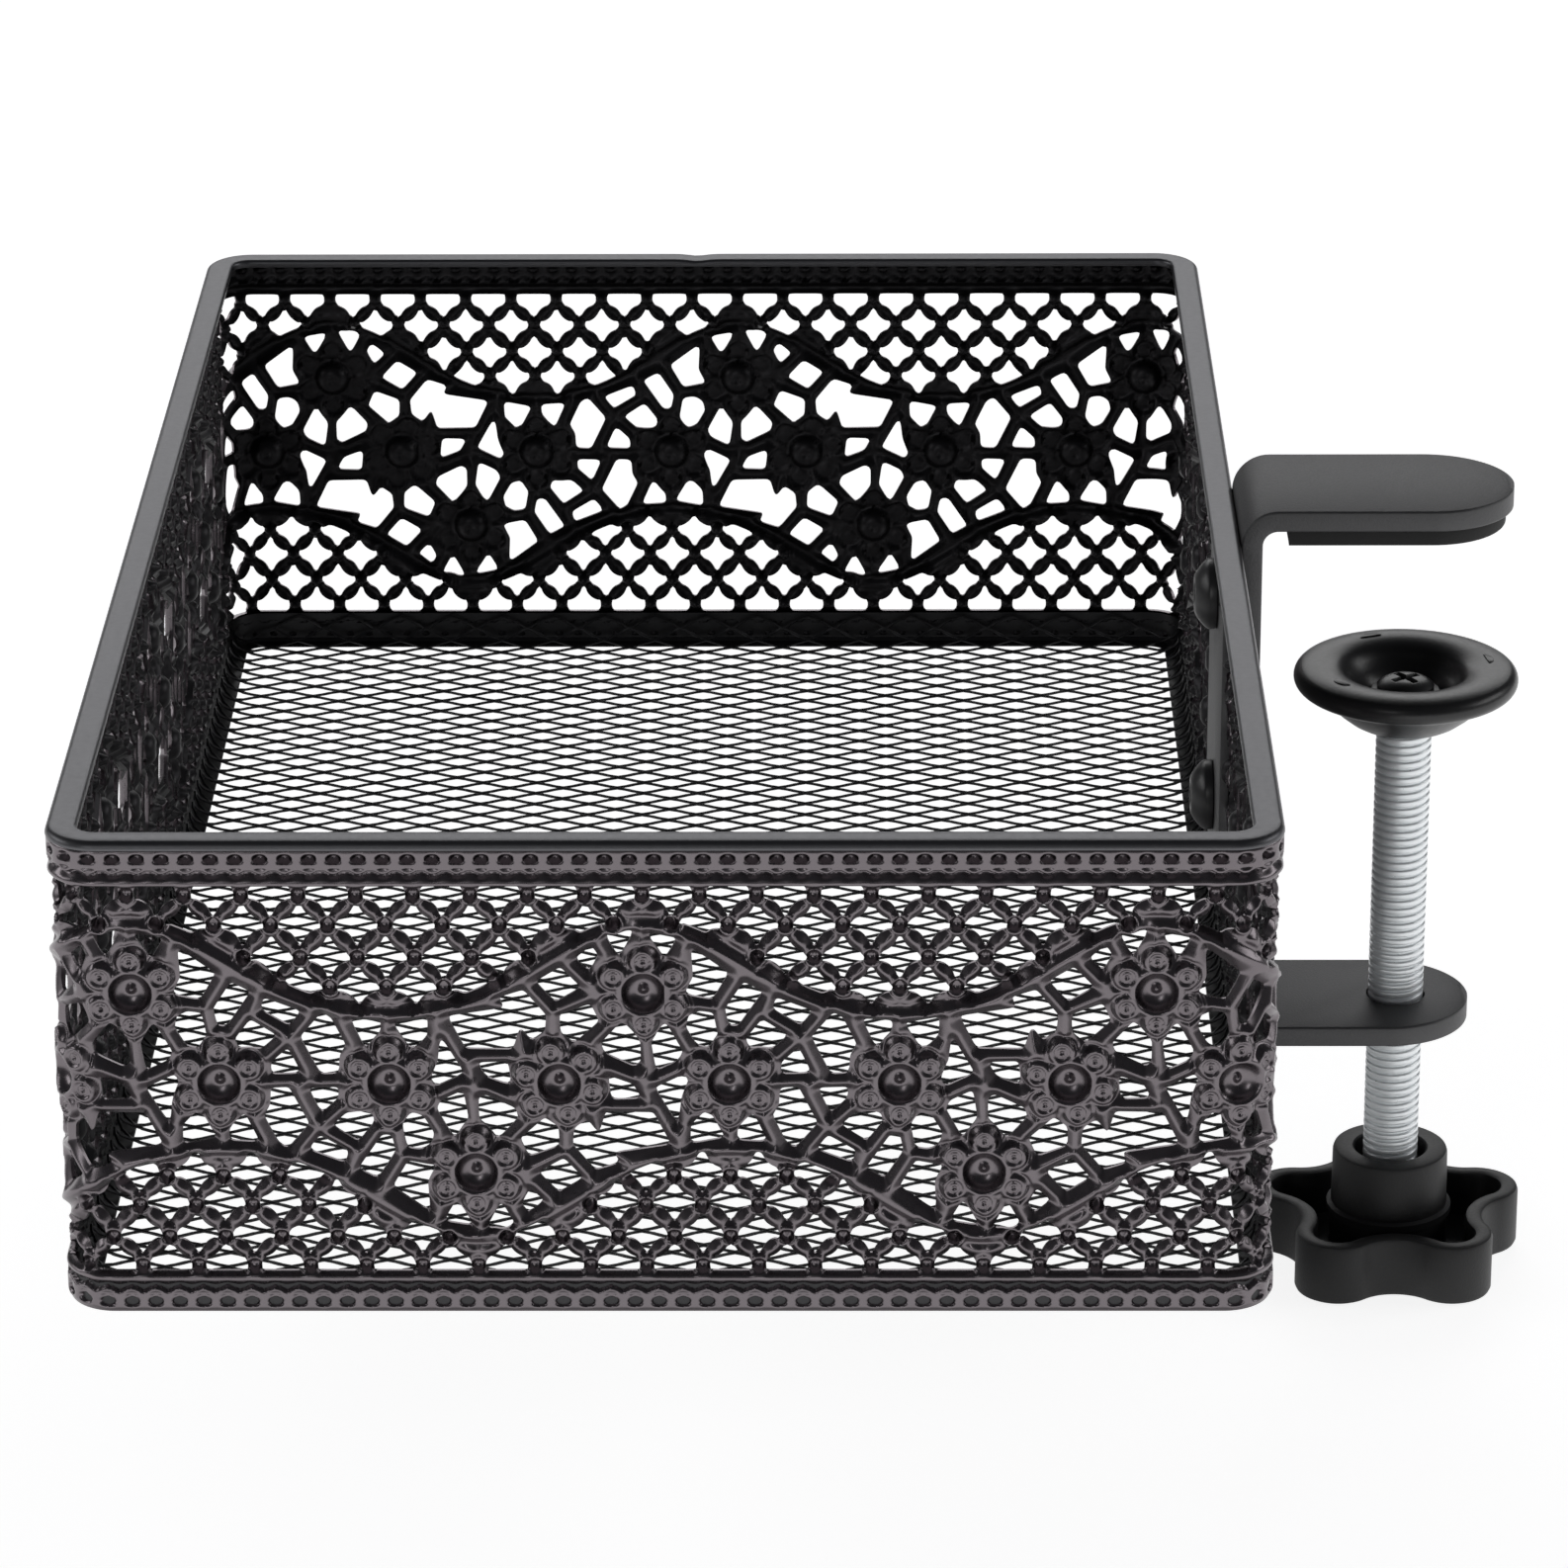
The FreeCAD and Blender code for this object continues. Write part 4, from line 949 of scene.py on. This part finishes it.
def build_clamp_screw():
    """The thread is one strip that climbs a pitch each turn: root, flank, crest, flank."""
    turns = int((SCREW_TOP - SCREW_FOOT - 2.2) / PITCH)
    around = 48
    profile = [(ROOT, 0.0), (ROOT, 0.06), (4.9, 0.24), (4.98, 0.36), (CREST, 0.6)]
    profile += [(CREST, 0.92), (4.98, 1.14), (4.9, 1.26), (ROOT, 1.44)]
    steps = turns * around + 1
    angle = np.arange(steps) * 2 * math.pi / around
    fade = smoothstep(np.minimum(angle, angle[-1] - angle) / math.pi)
    rows = []
    for radius, z in profile + [(ROOT, PITCH)]:
        size = ROOT + (radius - ROOT) * fade
        level = SCREW_FOOT + 0.5 + z + angle * PITCH / (2 * math.pi)
        rows.append(np.stack([size * np.cos(angle), size * np.sin(angle), level], -1))
    screw = Builder()
    screw.grid(rows)
    first = SCREW_FOOT + 0.5
    last = first + (turns + 1) * PITCH
    foot = [(0, SCREW_FOOT), (4.1, SCREW_FOOT), (ROOT, SCREW_FOOT + 0.5), (ROOT, first + 0.75)]
    head = [(ROOT, last - 0.85), (ROOT, SCREW_TOP - 0.35), (3.8, SCREW_TOP), (0, SCREW_TOP)]
    screw.grid(lathe(foot, around), close_v=True)
    screw.grid(lathe(head, around), close_v=True)
    screw.piece("threaded_clamp_screw", ZINC, "screw", ["clamp_screw"], smooth=50, slot="zinc_screw")


build_clamp_screw()

# ---------------------------------------------------------------- star knob

KNOB_FOOT, KNOB_HIGH, HUB_TOP = -144.7, 11.7, -122.6
LOBE_CIRCLE, LOBE, WAIST = 17.6, 7.6, 18.0
INSERT_RADIUS = 6.5


def star_outline(inset, steps=240):
    """The knob's plan: five round lobes joined by hollow arcs that touch them."""
    lobe, waist = LOBE - inset, WAIST - inset
    fifth = 2 * math.pi / 5
    across = LOBE_CIRCLE * math.cos(fifth / 2)
    spread = LOBE_CIRCLE**2 + waist**2 - 2 * across * waist - lobe**2
    hollow = spread / (2 * (lobe - waist + across))
    centre = waist + hollow
    touch = math.atan2(LOBE_CIRCLE * math.sin(fifth / 2), centre - across)
    plan = []
    per = steps // 10
    for number in range(5):
        middle = math.pi / 2 + number * fifth
        lobe_at = np.array([math.cos(middle), math.sin(middle)]) * LOBE_CIRCLE
        valley = middle + fifth / 2
        valley_at = np.array([math.cos(valley), math.sin(valley)]) * centre
        toward = math.atan2(*(valley_at - lobe_at)[::-1])
        half = (toward - middle + math.pi) % (2 * math.pi) - math.pi
        for a in np.linspace(-half, half, per, endpoint=False):
            plan.append(lobe_at + lobe * np.array([math.cos(middle + a), math.sin(middle + a)]))
        for a in np.linspace(touch, -touch, per, endpoint=False):
            facing = valley + math.pi + a
            plan.append(valley_at + hollow * np.array([math.cos(facing), math.sin(facing)]))
    return np.array(plan)


def build_knob():
    levels = [(2.2, 0), (0.9, 0.12), (0.3, 0.45), (0.0, 1.1), (0.0, KNOB_HIGH - 0.9), (0.25, KNOB_HIGH - 0.25)]
    levels += [(0.8, KNOB_HIGH), (2.5, KNOB_HIGH), (3.05, KNOB_HIGH - 0.25), (3.3, KNOB_HIGH - 0.9), (3.3, 3.2)]
    rows = [np.column_stack([star_outline(inset), np.full(240, KNOB_FOOT + z)]) for inset, z in levels]
    floor = [np.tile([(0, 0, KNOB_FOOT)], (240, 1))]
    well = [np.tile([(0, 0, KNOB_FOOT + 3.2)], (240, 1))]
    knob = Builder()
    knob.grid(floor + rows + well, close_v=True)
    seat = KNOB_FOOT + 3.5  # the insert stands on it
    hub = [(10.75, KNOB_FOOT + 3.0), (10.75, KNOB_FOOT + 9.6), (11.4, KNOB_FOOT + 9.75)]
    hub += [(11.4, KNOB_FOOT + 11.0), (10.9, KNOB_FOOT + 11.25), (10.62, KNOB_FOOT + 11.4), (10.5, HUB_TOP - 0.8)]
    hub += [(10.3, HUB_TOP - 0.25), (9.8, HUB_TOP), (6.9, HUB_TOP), (6.62, HUB_TOP - 0.2)]
    hub += [(INSERT_RADIUS, HUB_TOP - 0.6), (INSERT_RADIUS, seat), (0, seat)]
    knob.grid(lathe(hub, 120), close_v=True)
    knob.piece("star_knob_moulding", KNOB_PLASTIC, "screw", ["star_knob"], smooth=35, slot="knob_plastic")
    insert = Builder()
    top = HUB_TOP - 5.0
    ring = [(INSERT_RADIUS, seat), (INSERT_RADIUS, top), (6.3, top + 0.15), (5.4, top + 0.15)]
    ring += [(5.05, top - 0.2), (5.05, seat + 0.1)]
    insert.grid(lathe(ring), close_v=True)
    insert.piece("threaded_insert", INSERT, "screw", ["knob_insert"], smooth=35, slot="insert_brass")


build_knob()

# ---------------------------------------------------------------- swivel pad

PAD_TOP = -27.6
MARK_CIRCLE = 15.0


def build_pad():
    top = PAD_TOP
    profile = [(5.6, top - 11.0), (8.6, top - 11.0), (9.0, top - 10.8)]
    profile += [(10.2, top - 10.1), (12.2, top - 8.5), (13.9, top - 6.8), (15.3, top - 5.3), (16.4, top - 4.5)]
    profile += arc((17.9, top - 2.4), 2.1, -70, 72, 14) + [(17.6, top - 0.16)]
    profile += [(16.6, top - 0.03), (15.4, top), (13.9, top - 0.1), (12.6, top - 0.4)]
    profile += [(11.5, top - 0.9), (10.7, top - 1.6), (10.1, top - 2.3), (9.5, top - 3.1)]
    profile += [(8.5, top - 3.9), (7.5, top - 4.7), (6.9, top - 5.5), (6.7, top - 5.8), (4.52, top - 5.8)]
    profile += [(4.52, top - 7.2), (5.6, top - 7.2), (5.6, top - 11.0)]
    pad = Builder()
    pad.grid(lathe(profile, 144), close_v=True)
    # half-moon marks moulded proud of the face
    for angle in (10, 111, 216):
        turn = math.radians(angle)
        ring = []
        for share, lift in ((1.0, -0.25), (1.0, 0.1), (0.86, 0.18), (0.0, 0.18)):
            row = []
            for a in np.linspace(0, math.pi, 18):
                x, y = 2.0 * share * math.cos(a), 1.3 * share * math.sin(a) - 0.3
                row.append((x, y, top + lift))
            for x in np.linspace(-2.0 * share, 2.0 * share, 8)[1:-1]:
                row.append((x, -0.3, top + lift))
            ring.append(row)
        ring = np.array(ring)
        x, y = ring[..., 0], ring[..., 1] + MARK_CIRCLE
        cos, sin = math.cos(turn - math.pi / 2), math.sin(turn - math.pi / 2)
        moved = np.stack([x * cos - y * sin, x * sin + y * cos, ring[..., 2]], -1)
        pad.grid(moved, close_v=True)
    pad.piece("swivel_pad_moulding", PAD_PLASTIC, "pad", ["swivel_pad"], smooth=35, slot="swivel_plastic")


def cross_depth(x, y, depth):
    """How far a cross-shaped recess sinks at a point of the screw's head."""
    arm = np.maximum(np.minimum(np.abs(x), np.abs(y)) - 0.45, (np.maximum(np.abs(x), np.abs(y)) - 2.4) * 0.5)
    return depth * smoothstep((0.25 - arm) / 0.35)


def build_pad_screw():
    base = SCREW_TOP + 2.2 + 0.6 + 0.1
    radii = np.concatenate([np.linspace(0, 3.2, 26), np.linspace(3.4, 5.1, 10)])
    angle = np.linspace(0, 2 * math.pi, 96, endpoint=False)
    radius, turn = np.meshgrid(radii, angle, indexing="ij")
    x, y = radius * np.cos(turn + 0.6), radius * np.sin(turn + 0.6)
    dome = 2.2 - 1.3 * np.clip((radius - 1.5) / 3.6, 0, 1) ** 2.6
    turned_x, turned_y = radius * np.cos(turn), radius * np.sin(turn)
    z = base + dome - cross_depth(turned_x, turned_y, 1.5)
    head = Builder()
    head.grid(np.stack([x, y, z], -1), close_v=True)
    shank = [(5.1, base + 0.9), (5.1, base + 0.1), (4.9, base), (2.5, base), (2.5, SCREW_TOP), (0, SCREW_TOP)]
    head.grid(lathe(shank), close_v=True)
    head.piece("cross_head_screw", SCREW_BLACK, "screw", ["pad_screw"], smooth=45, slot="black_screw")


build_pad()
build_pad_screw()

for node, material in (("pad_spacer", SCREW_BLACK), ("thrust_washer", SCREW_BLACK), ("pad_bush", PAD_PLASTIC)):
    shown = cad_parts[node]
    shown.data.materials.clear()
    shown.data.materials.append(material)

# ---------------------------------------------------------------- stage, light and camera


def paper_glow_with_painted_shadow(tree, shader):
    """The paper glows evenly in the picture; towards the object it fades under the basket, a painted shadow in
    the light the paper gives the object.
    """

    def node(operation, first, second=None):
        made = tree.nodes.new("ShaderNodeMath")
        made.operation = operation
        for socket, value in zip(made.inputs, (first, second)):
            if isinstance(value, (int, float)):
                socket.default_value = value
            elif value is not None:
                tree.links.new(value, socket)
        return made.outputs["Value"]

    place = tree.nodes.new("ShaderNodeNewGeometry")
    split = tree.nodes.new("ShaderNodeSeparateXYZ")
    tree.links.new(place.outputs["Position"], split.inputs["Vector"])
    beside = node("SUBTRACT", node("ABSOLUTE", node("ADD", split.outputs["X"], 0.1285)), 0.0975)
    before = node("SUBTRACT", node("ABSOLUTE", split.outputs["Y"]), 0.15)
    # painted shadow: the glow drops from 0.95 to 0.1 near and under the basket's footprint
    fade = tree.nodes.new("ShaderNodeMapRange")
    fade.interpolation_type = "SMOOTHSTEP"
    for name, value in (("From Min", -0.03), ("From Max", 0.09), ("To Min", 0.1), ("To Max", 0.95)):
        fade.inputs[name].default_value = value
    tree.links.new(node("MAXIMUM", beside, before), fade.inputs["Value"])
    # camera rays see the even glow; all other rays see the painted shadow
    seen = tree.nodes.new("ShaderNodeLightPath")
    pick = tree.nodes.new("ShaderNodeMix")
    pick.inputs["B"].default_value = 0.86
    tree.links.new(seen.outputs["Is Camera Ray"], pick.inputs["Factor"])
    tree.links.new(fade.outputs["Result"], pick.inputs["A"])
    tree.links.new(pick.outputs["Result"], shader.inputs["Emission Strength"])


PAPER_Z = -0.1449  # metres, just under the knob


def add_stage():
    floor = bpy.data.meshes.new("stage_floor")
    corners = [(x, y, PAPER_Z) for x, y in ((-6, -4), (6, -4), (6, 9), (-6, 9))]
    floor.from_pydata(corners, [], [(0, 1, 2, 3)])
    ground = bpy.data.objects.new("stage_floor", floor)
    bpy.context.scene.collection.objects.link(ground)
    paper, tree, shader = new_material("stage_paper", (0.6, 0.6, 0.6), 0.9, specular=0.1)
    shader.inputs["Emission Color"].default_value = (1, 1, 1, 1)
    paper_glow_with_painted_shadow(tree, shader)
    floor.materials.append(paper)


TARGET = (-0.1, 0, -0.05)  # metres; the lamps face it


def add_light(name, energy, size, place):
    data = bpy.data.lights.new(name, "AREA")
    data.energy = energy
    data.shape = "RECTANGLE"
    data.size, data.size_y = size
    lamp = bpy.data.objects.new(name, data)
    lamp.location = place
    lamp.rotation_euler = (Vector(TARGET) - Vector(place)).to_track_quat("-Z", "Y").to_euler()
    bpy.context.scene.collection.objects.link(lamp)


FOCAL, FRAME = 6679.097, 1586  # the focal length and the picture's width, in the same unit
SENSOR = 36


def add_camera():
    pitch, yaw, roll = 0.3912, math.radians(-0.646), math.radians(-0.298)
    forward = Vector((math.sin(yaw) * math.cos(pitch), math.cos(yaw) * math.cos(pitch), -math.sin(pitch)))
    level = Vector((math.cos(yaw), -math.sin(yaw), 0))
    upward = level.cross(forward)
    right = level * math.cos(roll) + upward * math.sin(roll)
    up = upward * math.cos(roll) - level * math.sin(roll)
    data = bpy.data.cameras.new("photo_camera")
    data.sensor_width = SENSOR
    data.lens = FOCAL / FRAME * SENSOR
    data.clip_end = 50
    camera = bpy.data.objects.new("photo_camera", data)
    turn = Matrix((right, up, -forward)).transposed()
    camera.matrix_world = Matrix.Translation(Vector((-98.725, -1097.975, 402.257)) * MM) @ turn.to_4x4()
    bpy.context.scene.collection.objects.link(camera)
    bpy.context.scene.camera = camera


add_stage()
add_camera()
add_light("back_soft", 17, (2.6, 1.1), (-0.2, 2.6, 1.15))
add_light("key_soft", 3, (0.35, 0.9), (-0.75, -1.9, 0.75))
add_light("right_soft", 8, (1.6, 0.7), (2.0, 0.2, 0.9))
add_light("left_soft", 8, (1.6, 0.7), (-2.2, 0.2, 0.9))
world = bpy.data.worlds.new("studio")
world.use_nodes = True
world.node_tree.nodes["Background"].inputs["Color"].default_value = (0.9, 0.92, 1, 1)
world.node_tree.nodes["Background"].inputs["Strength"].default_value = 0.06
bpy.context.scene.world = world
bpy.context.scene.view_settings.view_transform = "Standard"
